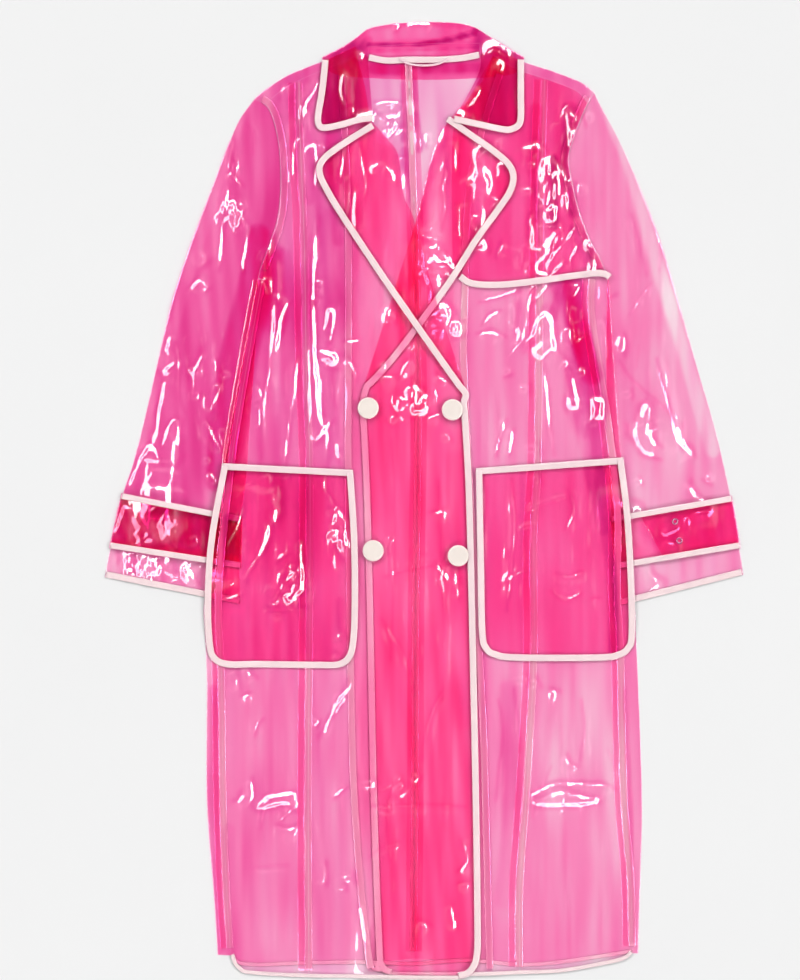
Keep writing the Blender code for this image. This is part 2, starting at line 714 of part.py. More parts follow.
film = finish_material("clear_vinyl_film", FILM, 0.08)
double_film = finish_material("clear_vinyl_double", DOUBLE_FILM, 0.08)
bound = finish_material("vinyl_binding", BOUND, 0.35)
taped = finish_material("vinyl_tape", TAPED, 0.2)
metal = finish_material("eyelet_metal", METAL, 0.25, 1.0)
button_finish = finish_material("covered_button", BOUND, 0.3)

pile = Pile(Lattice(max(reach) + 5, min(heights) - 5, max(heights) + 5))

# Flat pieces: node, layer, outline, material. Pieces of one layer never overlap in plan.
pieces = []


def lay(layer, rows, extra=(), ridge=None):
    """Lay one layer: rows of (node, outline, material), and outlines that folded walls bring to it."""
    pile.lay(layer, [outline for _, outline, _ in rows] + list(extra), ridge)
    pieces.extend((node, layer, outline, material) for node, outline, material in rows)


lay("strap_under", [], [straps[side][0] for side in SIDES])
lay("sleeve_under", [], [sleeves[side][0] for side in SIDES])
lay("sleeve_top", [], [sleeves[side][0] for side in SIDES])
cuffs = {side: (SLEEVE_OUTER[side][-1], SLEEVE_INNER[side][-1]) for side in SIDES}
lay("sleeve_hems", [(f"sleeve_hem_binding_{side}", film_side(trim(cuffs[side], 1, 1), HEM, side), bound)
                    for side in SIDES])
lay("strap_over", [], [straps[side][0] for side in SIDES])
lay("strap_tabs", [(f"cuff_tab_{side}", tab_outline(side), double_film) for side in SIDES])
strap_trim = []
for side in SIDES:
    _, outer, inner = straps[side]
    for edge, k in (("upper", 0), ("lower", 1)):
        line = trim((outer[k], inner[k]), 1, 1)
        width = BINDING if (edge == "lower") == (side == "right") else -BINDING
        band = strip(line, width) if width > 0 else strip(line, 0.0, -width)
        strap_trim.append((f"cuff_{edge}_binding_{side}", band, bound))
lay("strap_trim", strap_trim)

collar_fall = closed(COLLAR_ROLL, COLLAR_FALL)
backs = {side: back_outline(side) for side in SIDES}
lay("collar_fall", [], [collar_fall])
lay("back", [], backs.values())
back_hem = [*BACK_HEM["right"], *BACK_HEM["left"][1:]]
lay("back_trim", [("back_hem_binding", strip(back_hem, HEM), bound),
                  ("centre_back_tape", strip(trim(curve(CENTRE_BACK), HEM + 1, 5), 0.5 * TAPE, 0.5 * TAPE), taped)])

for side in ("left", "right"):
    mirror = 1 if side == "right" else -1
    lay(f"facing_{side}", [(f"facing_{side}", facing_outline(side), film)])
    edge = trim(curve(FACING[side]), 12, 4)
    lay(f"facing_trim_{side}", [(f"facing_tape_{side}", film_side(edge, TAPE, side), taped)])
    lay(f"front_{side}", [(f"front_centre_{side}", front_centre_outline(side), film),
                          (f"front_side_{side}", front_side_outline(side), film)],
        [side_wrap(side), shoulder_wrap(side)])
    princess = trim(curve(PRINCESS[side]), 2, HEM + 1)
    seam = trim(side_line(side, 2), 2, HEM + 1)
    armhole = trim(beside(ARMHOLE[side], mirror * 2 * GAP), 8, 14)
    lay(f"front_trim_{side}", [
        (f"princess_tape_{side}", strip(princess, 0.5 * TAPE, 0.5 * TAPE), taped),
        (f"side_tape_{side}", strip(seam, 0.5 * TAPE, 0.5 * TAPE), taped),
        (f"armhole_tape_{side}", film_side(armhole, TAPE, side), taped),
        (f"front_hem_binding_{side}", hem_binding(side), bound)])
    if side == "left":
        lay("gun_flap", [("gun_flap", flap_outline(), film)])
        lay("flap_trim", [("gun_flap_binding", strip(curve(FLAP_FOOT), BINDING), bound)])
    lay(f"lapel_{side}", [(f"lapel_{side}", lapel_outline(side), film)])
    lay(f"front_edge_{side}", [(f"front_edge_binding_{side}", front_binding(side), bound)])

lay("pocket", [(f"pocket_{side}", closed(POCKET_MOUTH[side], curve(POCKET_EDGE[side])), film) for side in SIDES])
pocket_trim = []
for side in SIDES:
    mouth = strip(POCKET_MOUTH[side], 0.0, BINDING)
    edge = strip(trim(curve(POCKET_EDGE[side]), BINDING + 1, BINDING + 1), 0.0, BINDING)
    pocket_trim += [(f"pocket_mouth_binding_{side}", mouth, bound), (f"pocket_edge_binding_{side}", edge, bound)]
lay("pocket_trim", pocket_trim)

lay("collar", [("collar_stand", stand_outline(), film)], [collar_outline()])
lay("collar_trim", [(f"collar_binding_{side}", film_side(trim(curve(LEAF_EDGE[side]), 2), BINDING, side), bound)
                    for side in SIDES])
neck = trim(NECK_SEAM[1:-1], 1, 1)
lay("neck_trim", [("neck_binding", strip(neck, 0.5 * HEM, 0.5 * HEM), bound)])
lay("hanger", [("hanger_loop", strip(curve(HANGER), 0.5 * LOOP, 0.5 * LOOP), bound)])

for node, layer, outline, material in pieces:
    wall(node, pile, [(outline, layer)], material=material)

for side in SIDES:
    outline, outer, inner = sleeves[side]
    wall(f"sleeve_{side}", pile, [(outline, "sleeve_under"), (outline, "sleeve_top")],
         [(0, 1, outer), (0, 1, inner)], film)
    outline, outer, inner = straps[side]
    wall(f"cuff_strap_{side}", pile, [(outline, "strap_under"), (outline, "strap_over")],
         [(0, 1, outer), (0, 1, inner)], double_film)
    wall(f"back_{side}", pile,
         [(backs[side], "back"), (side_wrap(side), f"front_{side}"), (shoulder_wrap(side), f"front_{side}")],
         [(0, 1, side_line(side, 1)), (0, 2, curve(SHOULDER[side]))], film)
wall("collar", pile, [(collar_fall, "collar_fall"), (collar_outline(), "collar")], [(0, 1, COLLAR_ROLL)], film)

button_profile = ((0, 0), (0.36 * BUTTON_D, 0), (0.5 * BUTTON_D, 0.3 * BUTTON_T), (0.47 * BUTTON_D, 0.7 * BUTTON_T),
                  (0.3 * BUTTON_D, BUTTON_T), (0, BUTTON_T))
for node, x, y in BUTTONS:
    seat = pile.top(disc(x, y, BUTTON_D)) + GAP
    turned(node, button_profile, x, y, seat, 20, button_finish)
eyelet_profile = ((0.5 * EYELET_HOLE, 0), (0.5 * EYELET_D, 0), (0.46 * EYELET_D, EYELET_T),
                  (0.56 * EYELET_HOLE, EYELET_T))
for node, x, y in EYELETS:
    seat = pile.top(disc(x, y, EYELET_D)) + GAP
    turned(node, eyelet_profile, x, y, seat, 16, metal)
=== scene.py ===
# %% [markdown]
# # A clear vinyl trench raincoat, laid flat
# The coat is cut from thin, clear pink vinyl film. Its edges are bound in pale
# vinyl and its seams are taped. It lies on its back, so every piece is a sheet
# on top of other sheets. The lesson builds it the way it was sewn: draw each
# piece as a flat outline, lay the pieces on each other in order, let every
# layer crease a little, and give the film a material that light goes through.

# %% Load the fixed frame
from math import ceil, cos, floor, hypot, pi, sin

import bmesh
import bpy
import numpy as np
from mathutils.geometry import delaunay_2d_cdt
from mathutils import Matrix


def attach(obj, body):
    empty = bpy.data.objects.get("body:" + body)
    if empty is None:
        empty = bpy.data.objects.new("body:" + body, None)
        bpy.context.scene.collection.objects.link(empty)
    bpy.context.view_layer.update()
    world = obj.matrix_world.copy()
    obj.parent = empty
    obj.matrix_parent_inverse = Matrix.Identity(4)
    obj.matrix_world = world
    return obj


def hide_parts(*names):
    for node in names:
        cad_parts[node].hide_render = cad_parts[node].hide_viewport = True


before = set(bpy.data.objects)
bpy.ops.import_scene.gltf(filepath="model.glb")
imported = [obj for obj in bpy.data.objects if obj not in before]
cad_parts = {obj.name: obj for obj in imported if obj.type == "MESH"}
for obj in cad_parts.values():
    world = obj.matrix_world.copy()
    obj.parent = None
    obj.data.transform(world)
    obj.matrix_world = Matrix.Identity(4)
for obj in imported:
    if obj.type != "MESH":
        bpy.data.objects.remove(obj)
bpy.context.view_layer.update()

SIDES = ("right", "left")

# %% [markdown]
# ## Sizes
# The plan is in millimetres: x to the wearer's left of the centre line and y up
# from the front hem. The film itself is 0.3 mm thick. What matters more for the
# shape is how far one layer lies above the next, because air keeps them apart.

# %% Driving sizes
GAP = 0.3          # plan clearance at a seam
PITCH = 0.55       # one layer of film above the next
BINDING = 9.6      # width of an edge binding, as its solid has it
TAPE = 8.0         # width of a seam tape
HEM = 7.5          # width of the binding on the sleeve hems and the neck
LOOP = 2.6         # width of the hanger loop
BUTTON_D = 25.5    # a covered button
EYELET_D = 8.0     # an eyelet's rim, and the hole in it
EYELET_HOLE = 3.6
STRAP_EASE = 1.8   # a cuff strap stands this far outside the sleeve's folds
STEP = 2.5         # spacing of the height grid, and so of the film's faces
SNAP = 0.01        # points closer than this are one point
NEAR = 0.03        # points closer than this to a fold's line lie on it
PLAN_ORIGIN = (0.0, 574.0)   # the plan point that the part's origin stands on
print(f"film {PITCH} mm apart on a grid of {STEP} mm, bindings {BINDING} mm, buttons {BUTTON_D} mm")

# %% [markdown]
# ## Measured lines
# A tailor drafts a coat from a few measured lines: the sides, armholes, hems,
# edges and seams. Here each is the short list of points where it turns, in
# millimetres on the plan, and a curve is drawn through them.

# %% Measured lines of the plan
# Side of the body, in rows of y, x of the outer fold and x of the side seam.
SIDE = {
    "right": ((839, -199, -194), (728, -220, -214), (619, -239, -231), (467, -262, -246), (359, -260, -243),
              (215, -260, -241), (107, -252, -237), (29, -247, -232)),
    "left": ((842, 221, 202), (790, 224, 202), (660, 233, 222), (560, 243, 232), (467, 251, 232),
             (391, 255, 236), (224, 261, 240), (121, 259, 248), (31, 256, 250)),
}

# Armhole, from shoulder to underarm.
ARMHOLE = {
    "right": ((-203, 1056), (-187, 1045), (-178, 1021), (-173, 989), (-172, 947), (-176, 911), (-187, 877),
              (-196, 853), (-199, 839)),
    "left": ((204, 1063), (194, 1045), (184, 1021), (174, 989), (176, 965), (184, 929), (197, 892),
             (211, 865), (221, 842)),
}

# Shoulder fold, from armhole to neck point, and the seam a little in front of it.
SHOULDER = {
    "right": ((-203, 1056), (-185, 1070), (-161, 1085), (-119, 1102), (-82, 1119)),
    "left": ((204, 1063), (187, 1076), (157, 1088), (115, 1102), (84, 1120)),
}
SHOULDER_SEAM = {
    "right": ((-191, 1048), (-179, 1060), (-157, 1075), (-116, 1093), (-80, 1108)),
    "left": ((197, 1051), (183, 1066), (154, 1078), (112, 1092), (82, 1109)),
}

# Princess seam, from the shoulder seam to the hem.
PRINCESS = {
    "right": ((-150, 1078), (-149, 1019), (-145, 922), (-143, 858), (-141, 724), (-137, 623), (-137, 455),
              (-138, 335), (-139, 215), (-138, 2)),
    "left": ((145, 1081), (141, 959), (139, 818), (137, 625), (132, 527), (132, 389), (124, 238), (115, 108),
             (115, 6)),
}

# Centre-back seam and the neck seam, which runs from neck point to neck point.
CENTRE_BACK = ((-13, 25), (-11, 215), (-10, 455), (-7, 695), (-12, 925), (-19, 1103))
NECK_SEAM = ((-82, 1119), (-67, 1106), (-45, 1102), (-19, 1103), (15, 1103), (45, 1105), (67, 1109),
             (84, 1120))
NECK_MIDDLE = 3       # the point of NECK_SEAM where the centre-back seam meets it

# Roll line, where the lapel turns out: from the neck down to the break.
ROLL = {
    "right": ((-64, 1031), (-46, 1010), (-31, 989), (-24, 940), (-12, 911), (13, 820), (52, 703)),
    "left": ((31, 1033), (20, 1014), (11, 991), (1, 953), (-8, 916), (-40, 814), (-74, 707)),
}
# Front neckline, from the shoulder to the roll line.
FRONT_NECK = {
    "right": ((-80, 1108), (-70, 1070)),
    "left": ((82, 1109), (70, 1078), (49, 1052)),
}
# Front edge from the break down, round the corner at the foot, and on along the hem to the side.
FRONT_EDGE = {
    "right": ((52, 700), (56, 640), (59, 575), (62, 455), (67, 215), (69, 70), (68.5, 32), (64, 14),
              (54, 3), (42, 0)),
    "left": ((-79, 695), (-74, 599), (-70, 455), (-65, 215), (-58, 30), (-55, 15), (-49, 7), (-40, 4)),
}
# Hems of the fronts, from the centre to the side, and of the back.
FRONT_HEM = {
    "right": ((0, 0), (-53, 1), (-138, 2), (-209, 6), (-223, 12), (-229, 19), (-232, 29)),
    "left": ((0, 4), (65, 4), (115, 6), (163, 8), (211, 16), (240, 23), (250, 31)),
}
BACK_HEM = {
    "right": ((-232, 28), (-224, 18), (-200, 15), (-143, 17), (-71, 18), (-13, 16)),
    "left": ((-13, 16), (50, 20), (115, 15), (163, 18), (211, 25), (250, 31)),
}

# Inner edge of each facing, from the shoulder seam to the hem.
FACING = {
    "right": ((-104, 1095), (-95, 911), (-95, 623), (-92, 373), (-88, 224), (-78, 90), (-68, 9)),
    "left": ((98, 1096), (60, 960), (53, 815), (53, 706), (71, 380), (76, 277), (83, 9)),
}

# Outer edge of each lapel, from the notch round the point to the break.
LAPEL = {
    "right": ((-64, 1028), (-95, 1009), (-121, 990), (-129, 978), (-129, 962), (-113, 931), (-86, 889),
              (-54, 841), (-23, 796), (10, 749), (40, 707), (48, 697)),
    "left": ((31, 1036), (61, 1015), (89, 995), (106, 979), (112, 962), (107, 942), (91, 918), (67, 885),
             (44, 848), (25, 820), (-5, 779), (-35, 740), (-66, 706), (-73, 699)),
}

# Collar: the roll along the top, the two leaves, and the edges that the roll hides.
COLLAR_ROLL = ((-122, 1105), (-95, 1119), (-75, 1134), (-64, 1141), (-35, 1146), (0, 1148), (37, 1147),
               (60, 1142), (75, 1133), (96, 1119), (120, 1105))
LEAF_EDGE = {
    "right": ((-122, 1105), (-126, 1067), (-131, 1036), (-130, 1024), (-124, 1018), (-113, 1018), (-95, 1022),
              (-77, 1027), (-61, 1029)),
    "left": ((120, 1105), (120, 1060), (120, 1034), (117, 1023), (109, 1017), (97, 1015), (67, 1021),
             (35, 1028)),
}
LEAF_ROLL = {
    "right": ((-62, 1039), (-64, 1064), (-67, 1100), (-67, 1119)),
    "left": ((37, 1035), (49, 1055), (62, 1079), (68, 1097), (67, 1123)),
}
STAND_SEAM = ((-67, 1119), (-29, 1121), (19, 1123), (67, 1123))
COLLAR_FALL = ((117, 1096), (98, 1084), (0, 1079), (-98, 1084), (-119, 1096))

# Gun flap on the left shoulder: inner edge, then the lower edge to the underarm.
FLAP_INNER = ((76, 1098), (50, 1052), (34, 1018), (33, 880), (37, 850))
FLAP_FOOT = ((41, 840), (56, 831), (91, 829), (139, 834), (180, 840), (211, 843), (220, 839))

# Patch pockets: mouth, then round the rest of the edge.
POCKET_MOUTH = {
    "right": ((-242, 619), (-85, 611)),
    "left": ((62, 613), (239, 626)),
}
POCKET_EDGE = {
    "right": ((-85, 611), (-80, 530), (-79, 455), (-81, 405), (-87, 384), (-101, 374), (-130, 373),
              (-200, 374), (-236, 374), (-254, 382), (-261, 401), (-263, 455), (-258, 530), (-242, 619)),
    "left": ((239, 626), (247, 560), (252, 479), (253, 412), (248, 395), (236, 386), (210, 382), (110, 382),
             (84, 386), (72, 394), (66, 415), (64, 503), (62, 613)),
}

# Sleeve: the outer fold runs from shoulder to cuff, and the inner one from underarm to cuff.
SLEEVE_OUTER = {
    "right": ((-203, 1056), (-221, 1031), (-234, 1001), (-257, 940), (-281, 875), (-305, 798), (-344, 635),
              (-363, 574), (-383, 482)),
    "left": ((204, 1063), (211, 1049), (235, 1003), (259, 947), (283, 883), (307, 803), (328, 731),
             (349, 659), (368, 575), (383, 485)),
}
SLEEVE_INNER = {
    "right": ((-199, 839), (-203, 755), (-209, 671), (-214, 599), (-221, 551), (-222, 503), (-221, 450)),
    "left": ((221, 842), (219, 755), (221, 659), (224, 575), (230, 503), (235, 448)),
}
# Cuff strap: heights of its upper and lower edge at the outer and at the inner fold, and the tab's end.
STRAP = {
    "right": {"upper": (583, 555), "lower": (517, 493), "tab": ((-238, 557), (-246, 498))},
    "left": {"upper": (580, 555), "lower": (517, 492), "tab": ((258, 558), (288, 503))},
}
# Hanger loop, from end to end.
HANGER = ((-30, 1104), (-18, 1098), (0, 1096), (17, 1098), (29, 1104))

# Covered buttons and eyelets, in rows of node, x and y of the centre.
BUTTONS = (("button_1", -67, 685), ("button_2", 34, 683), ("button_3", -61, 514), ("button_4", 41, 508))
EYELETS = (("eyelet_upper", 301, 549), ("eyelet_lower", 306, 526))

# %% [markdown]
# ## Lines and outlines
# A maker draws a pattern with a few measured points and a smooth curve through
# them. The same is done here. Outlines are closed and run counterclockwise, and
# pieces that meet at a seam or a fold share the very same line.

# %% Plan geometry
def curve(points, step=4.0):
    """A smooth line through the points, with a point about every step."""
    ends = [points[0]] + list(points) + [points[-1]]
    line = []
    for a, b, c, d in zip(ends, ends[1:], ends[2:], ends[3:]):
        parts = max(1, ceil(hypot(c[0] - b[0], c[1] - b[1]) / step))
        for k in range(parts):
            t = k / parts
            line.append(tuple(
                0.5 * (2 * b[i] + (c[i] - a[i]) * t + (2 * a[i] - 5 * b[i] + 4 * c[i] - d[i]) * t * t
                       + (3 * b[i] - a[i] - 3 * c[i] + d[i]) * t ** 3)
                for i in (0, 1)))
    line.append(tuple(map(float, points[-1])))
    return line


def straight(points, step=4.0):
    """A line of straight stretches, with a point about every step."""
    line = []
    for (x0, y0), (x1, y1) in zip(points, points[1:]):
        parts = max(1, ceil(hypot(x1 - x0, y1 - y0) / step))
        line += [(x0 + (x1 - x0) * k / parts, y0 + (y1 - y0) * k / parts) for k in range(parts)]
    line.append(tuple(map(float, points[-1])))
    return line


def area(outline):
    """Signed area: positive when the outline runs counterclockwise."""
    return 0.5 * sum(p[0] * q[1] - q[0] * p[1] for p, q in zip(outline, outline[1:] + outline[:1]))


def closed(*lines):
    """One counterclockwise outline from lines that follow each other."""
    outline = []
    for point in (p for line in lines for p in line):
        if not outline or hypot(point[0] - outline[-1][0], point[1] - outline[-1][1]) > SNAP:
            outline.append(point)
    if hypot(outline[0][0] - outline[-1][0], outline[0][1] - outline[-1][1]) <= SNAP:
        outline.pop()
    return outline if area(outline) > 0 else outline[::-1]


def normals(line):
    """Unit normals to the left of an open line, one for each point."""
    line = np.array(line, float)
    along = np.gradient(line, axis=0)
    along /= np.maximum(np.hypot(along[:, 0], along[:, 1]), 1e-9)[:, None]
    return np.stack([-along[:, 1], along[:, 0]], 1)


def beside(line, distance):
    """The line moved to its left by distance."""
    return [tuple(p) for p in np.array(line, float) + normals(line) * distance]


def strip(line, left, right=0.0):
    """Outline of a band along a line, reaching left and right of it."""
    return closed(beside(line, left), beside(line, -right)[::-1])


def inset(outline, distance=GAP):
    """A counterclockwise outline drawn in by distance on all sides."""
    ring = [outline[-1]] + outline + [outline[0]]
    return beside(ring, distance)[1:-1]


def trim(line, start, end=0.0):
    """The line with a length cut off each end."""
    kept = list(line)
    for length in (start, end):
        while length > 0 and len(kept) > 2:
            (x0, y0), (x1, y1) = kept[0], kept[1]
            step = hypot(x1 - x0, y1 - y0)
            if step <= length:
                kept.pop(0)
            else:
                kept[0] = (x0 + (x1 - x0) * length / step, y0 + (y1 - y0) * length / step)
            length -= step
        kept.reverse()
    return kept


def x_at(line, y):
    """Where a line that runs downwards is at one height."""
    for (x0, y0), (x1, y1) in zip(line, line[1:]):
        if y0 >= y >= y1:
            return x0 + (x1 - x0) * (y0 - y) / (y0 - y1)
    raise ValueError(f"the line does not reach height {y}")


def side_line(side, column):
    """Fold (column 1) or seam (column 2) of one side, from underarm to hem."""
    return curve([(row[column], row[0]) for row in SIDE[side]])


print(f"left front edge drawn with {len(curve(FRONT_EDGE['left']))} points")

# %% [markdown]
# ## The outline of every piece
# On the real coat each piece is cut flat and sewn to the next. Each could be
# drawn on its own, but neighbours share a seam, so each outline is put together
# from the shared lines above, moved half a seam apart. Then the gaps are even,
# and a changed line changes both pieces.

# %% Outlines of the pieces
def back_outline(side):
    """One half of the back, as it lies on the floor."""
    if side == "right":
        hem, neck = BACK_HEM["right"], NECK_SEAM[:NECK_MIDDLE + 1][::-1]
    else:
        hem, neck = BACK_HEM["left"][::-1], NECK_SEAM[NECK_MIDDLE:]
    middle = beside(curve(CENTRE_BACK), 0.5 * GAP if side == "right" else -0.5 * GAP)
    return closed(hem[:-1], middle, curve(neck)[1:], curve(SHOULDER[side])[::-1], curve(ARMHOLE[side]),
                  side_line(side, 1))


def side_wrap(side):
    """The strip of back film that comes round the side to the side seam."""
    return closed(side_line(side, 1), side_line(side, 2)[::-1])


def shoulder_wrap(side):
    """The strip of back film that comes over the shoulder to the shoulder seam."""
    return closed(curve(SHOULDER[side]), curve(SHOULDER_SEAM[side])[::-1])


def front_side_outline(side):
    """Side front: shoulder seam, armhole, side seam, hem, princess seam."""
    princess = curve(PRINCESS[side])
    shoulder = [p for p in curve(SHOULDER_SEAM[side]) if abs(p[0]) > abs(princess[0][0])]
    hem = [p for p in curve(FRONT_HEM[side]) if abs(p[0]) > abs(princess[-1][0]) + 1]
    return inset(closed(shoulder[::-1], curve(ARMHOLE[side])[2:-1], side_line(side, 2), hem[::-1],
                        princess[::-1]))


def front_centre_outline(side):
    """Centre front: shoulder seam, neck, roll line, front edge, hem, princess seam."""
    princess = curve(PRINCESS[side])
    shoulder = [p for p in curve(SHOULDER_SEAM[side]) if abs(p[0]) < abs(princess[0][0])]
    foot = princess[-1][0]
    hem = [p for p in curve(FRONT_HEM[side]) if abs(p[0]) < abs(foot) - 1 and p[0] * foot > -1]
    return inset(closed(shoulder, FRONT_NECK[side][1:], curve(ROLL[side]), curve(FRONT_EDGE[side]), hem,
                        princess[::-1]))


def facing_outline(side):
    """Facing strip under the front edge, from shoulder seam to hem."""
    rim = closed(FRONT_NECK[side], curve(ROLL[side]), curve(FRONT_EDGE[side]), [FRONT_HEM[side][0]],
                 curve(FACING[side])[::-1])
    return inset(rim, 1.0)


def lapel_outline(side):
    """Lapel turned out on the front, between the roll line and its bound edge."""
    return closed(curve(LAPEL[side]), curve(ROLL[side])[::-1])


def collar_outline():
    """Collar film that shows: both leaves and the strip inside the back neck."""
    return closed(curve(COLLAR_ROLL), curve(LEAF_EDGE["left"]), curve(LEAF_ROLL["left"]), STAND_SEAM[::-1],
                  curve(LEAF_ROLL["right"])[::-1], curve(LEAF_EDGE["right"])[::-1])


def stand_outline():
    """Collar stand between the collar strip and the neck seam."""
    return inset(closed(STAND_SEAM, NECK_SEAM[1:-1][::-1]))


def flap_outline():
    """Gun flap: shoulder seam, armhole, foot, inner edge."""
    shoulder = [p for p in curve(SHOULDER_SEAM["left"]) if p[0] > FLAP_INNER[0][0]]
    return inset(closed(shoulder[::-1], curve(ARMHOLE["left"])[2:-1], curve(FLAP_FOOT)[::-1],
                        curve(FLAP_INNER)[::-1]), 1.0)


def sleeve_outline(side):
    """Flattened sleeve, drawn back from the armhole by GAP, with its outer and inner fold."""
    armhole = beside(curve(ARMHOLE[side]), GAP if side == "left" else -GAP)
    outer, inner = curve(SLEEVE_OUTER[side]), curve(SLEEVE_INNER[side])
    outer[0], inner[0] = armhole[0], armhole[-1]
    return closed(armhole, inner, outer[::-1]), outer, inner


def strap_outline(side):
    """Cuff strap as it lies, a little outside the sleeve's folds, with its outer and inner fold."""
    out = STRAP_EASE if side == "left" else -STRAP_EASE
    edges = (STRAP[side]["upper"], STRAP[side]["lower"])
    outer = [(x_at(SLEEVE_OUTER[side], y) + out, y) for y, _ in edges]
    inner = [(x_at(SLEEVE_INNER[side], y) - out, y) for _, y in edges]
    return closed(straight(outer), straight(inner)[::-1]), outer, inner


def tab_outline(side):
    """Free end of the cuff strap, lapped over it."""
    _, outer, _ = strap_outline(side)
    return inset(closed(outer, STRAP[side]["tab"][::-1]), 1.0)


print(f"left lapel {area(lapel_outline('left')) / 100:.0f} cm2, "
      f"left back {area(back_outline('left')) / 100:.0f} cm2")

# %% [markdown]
# ## The height of every layer
# Film is so thin that its place is given by one height over each point of the
# plan. A fine square grid holds the height of whatever lies on top so far. A new
# layer takes that height, bridges the steps below it as film does, gets its own
# creases, and becomes the new top.

# %% The height grid
# It reaches a little past the coat on all sides.
GRID_X = np.arange(-400.0, 400.0 + STEP, STEP)
GRID_Y = np.arange(-17.5, 1165.0 + STEP, STEP)
NODE_X, NODE_Y = np.meshgrid(GRID_X, GRID_Y, indexing="ij")
ROWS = len(GRID_Y)
top = np.zeros(NODE_X.shape)
layers = {}        # name of a layer: height of its underside over the grid
print(f"height grid of {len(GRID_X)} by {len(GRID_Y)} nodes")


# %% Find, spread and blur on the grid
def inside(outline, x, y):
    """Which of the points x, y lie inside the outline."""
    hit = np.zeros(x.shape, bool)
    for (x0, y0), (x1, y1) in zip(outline, outline[1:] + outline[:1]):
        if y0 != y1:
            hit ^= ((y0 > y) != (y1 > y)) & (x < (x1 - x0) * (y - y0) / (y1 - y0) + x0)
    return hit


def window(outline, margin=8.0):
    """Index ranges of the grid round an outline."""
    xs, ys = [p[0] for p in outline], [p[1] for p in outline]
    i0, i1 = np.searchsorted(GRID_X, (min(xs) - margin, max(xs) + margin))
    j0, j1 = np.searchsorted(GRID_Y, (min(ys) - margin, max(ys) + margin))
    return slice(max(i0, 0), i1 + 1), slice(max(j0, 0), j1 + 1)


def covered(outlines):
    """Grid nodes in or beside the outlines, so that every face they cut has its corners among them."""
    cover = np.zeros(NODE_X.shape, bool)
    for outline in outlines:
        at = window(outline)
        cover[at] |= inside(outline, NODE_X[at], NODE_Y[at])
    return spread(cover, 1)


def spread(field, radius):
    """The largest value within radius nodes."""
    for axis in (0, 1):
        wide = field.copy()
        for step in range(1, radius + 1):
            for way in (step, -step):
                wide = np.maximum(wide, np.roll(field, way, axis))
        field = wide
    return field


def blurred(field, radius):
    """A soft average that reaches radius nodes, with triangular weights."""
    for axis in (0, 1):
        total, weight = np.zeros(field.shape), 0.0
        for step in range(-radius, radius + 1):
            share = radius + 1 - abs(step)
            total += share * np.roll(field, step, axis)
            weight += share
        field = total / weight
    return field


# %% Lay a layer and read a height
def lay(layer, outlines, thick=PITCH, bridge=3, rise=None):
    """Lay film on all that is there, and keep the height of its underside as layers[layer]."""
    global top
    under = np.where(top > 0, top, 0.0)
    low = blurred(spread(under, bridge), bridge)
    if rise is not None:
        low = low + rise
    layers[layer] = low
    cover = covered(outlines)
    top = np.where(cover, np.maximum(top, low + thick), top)
    return low


def height(field, x, y):
    """Height of a field at points of the plan: straight inside each grid triangle."""
    u = (np.asarray(x, float) - GRID_X[0]) / STEP
    v = (np.asarray(y, float) - GRID_Y[0]) / STEP
    i, j = np.floor(u).astype(int), np.floor(v).astype(int)
    a, b = u - i, v - j
    low, high = field[i, j], field[i + 1, j + 1]
    return np.where(a > b, low * (1 - a) + field[i + 1, j] * (a - b) + high * b,
                    low * (1 - b) + field[i, j + 1] * (b - a) + high * a)


# %% [markdown]
# ## Meshes of film
# A sheet of film is one surface of fine triangles on the grid. Only the cells
# that its outline crosses are cut, with a constrained Delaunay triangulation, so
# the edge is smooth and everything inside stays regular.

# %% Cut the cells that the outline crosses
def cell_at(x, y):
    """Grid cell that a point of the plan is in."""
    return floor((x - GRID_X[0]) / STEP), floor((y - GRID_Y[0]) / STEP)


def crossed_cells(outline):
    """Grid cells that the outline passes through, and those beside them."""
    cells = set()
    for (x0, y0), (x1, y1) in zip(outline, outline[1:] + outline[:1]):
        parts = int(hypot(x1 - x0, y1 - y0) / (0.4 * STEP)) + 1
        for k in range(parts + 1):
            cells.add(cell_at(x0 + (x1 - x0) * k / parts, y0 + (y1 - y0) * k / parts))
    return {(i + a, j + b) for i, j in cells for a in (-1, 0, 1) for b in (-1, 0, 1)}


def cut_fringe(outline, cells):
    """Those cells in triangles, cut along the outline: number of each grid node, points and faces."""
    points = list(outline)
    corner = {}
    for i, j in sorted(cells):
        for a, b in ((0, 0), (1, 0), (0, 1), (1, 1)):
            if (i + a, j + b) not in corner:
                corner[i + a, j + b] = len(points)
                points.append((GRID_X[i + a], GRID_Y[j + b]))
    edges = set()
    for i, j in cells:
        a, b, c, d = corner[i, j], corner[i + 1, j], corner[i + 1, j + 1], corner[i, j + 1]
        edges |= {(a, b), (b, c), (d, c), (a, d), (a, c)}
    ring = [list(range(len(outline)))]
    places, _, faces, origin, _, inner = delaunay_2d_cdt(points, sorted(edges), ring, 0, SNAP)
    node_of = {index: node for node, index in corner.items()}
    numbers, xy, number = {}, [], []
    for k, place in enumerate(places):
        node = next((node_of[o] for o in origin[k] if o in node_of), None)
        key = node[0] * ROWS + node[1] if node else -1 - k
        if key not in numbers:
            numbers[key] = len(xy)
            xy.append((place[0], place[1]))
        number.append(numbers[key])
    kept = []
    for face, source in zip(faces, inner):
        middle = [sum(places[v][axis] for v in face) / 3 for axis in (0, 1)]
        if source and cell_at(*middle) in cells:
            kept.append(tuple(number[v] for v in face))
    return numbers, xy, kept


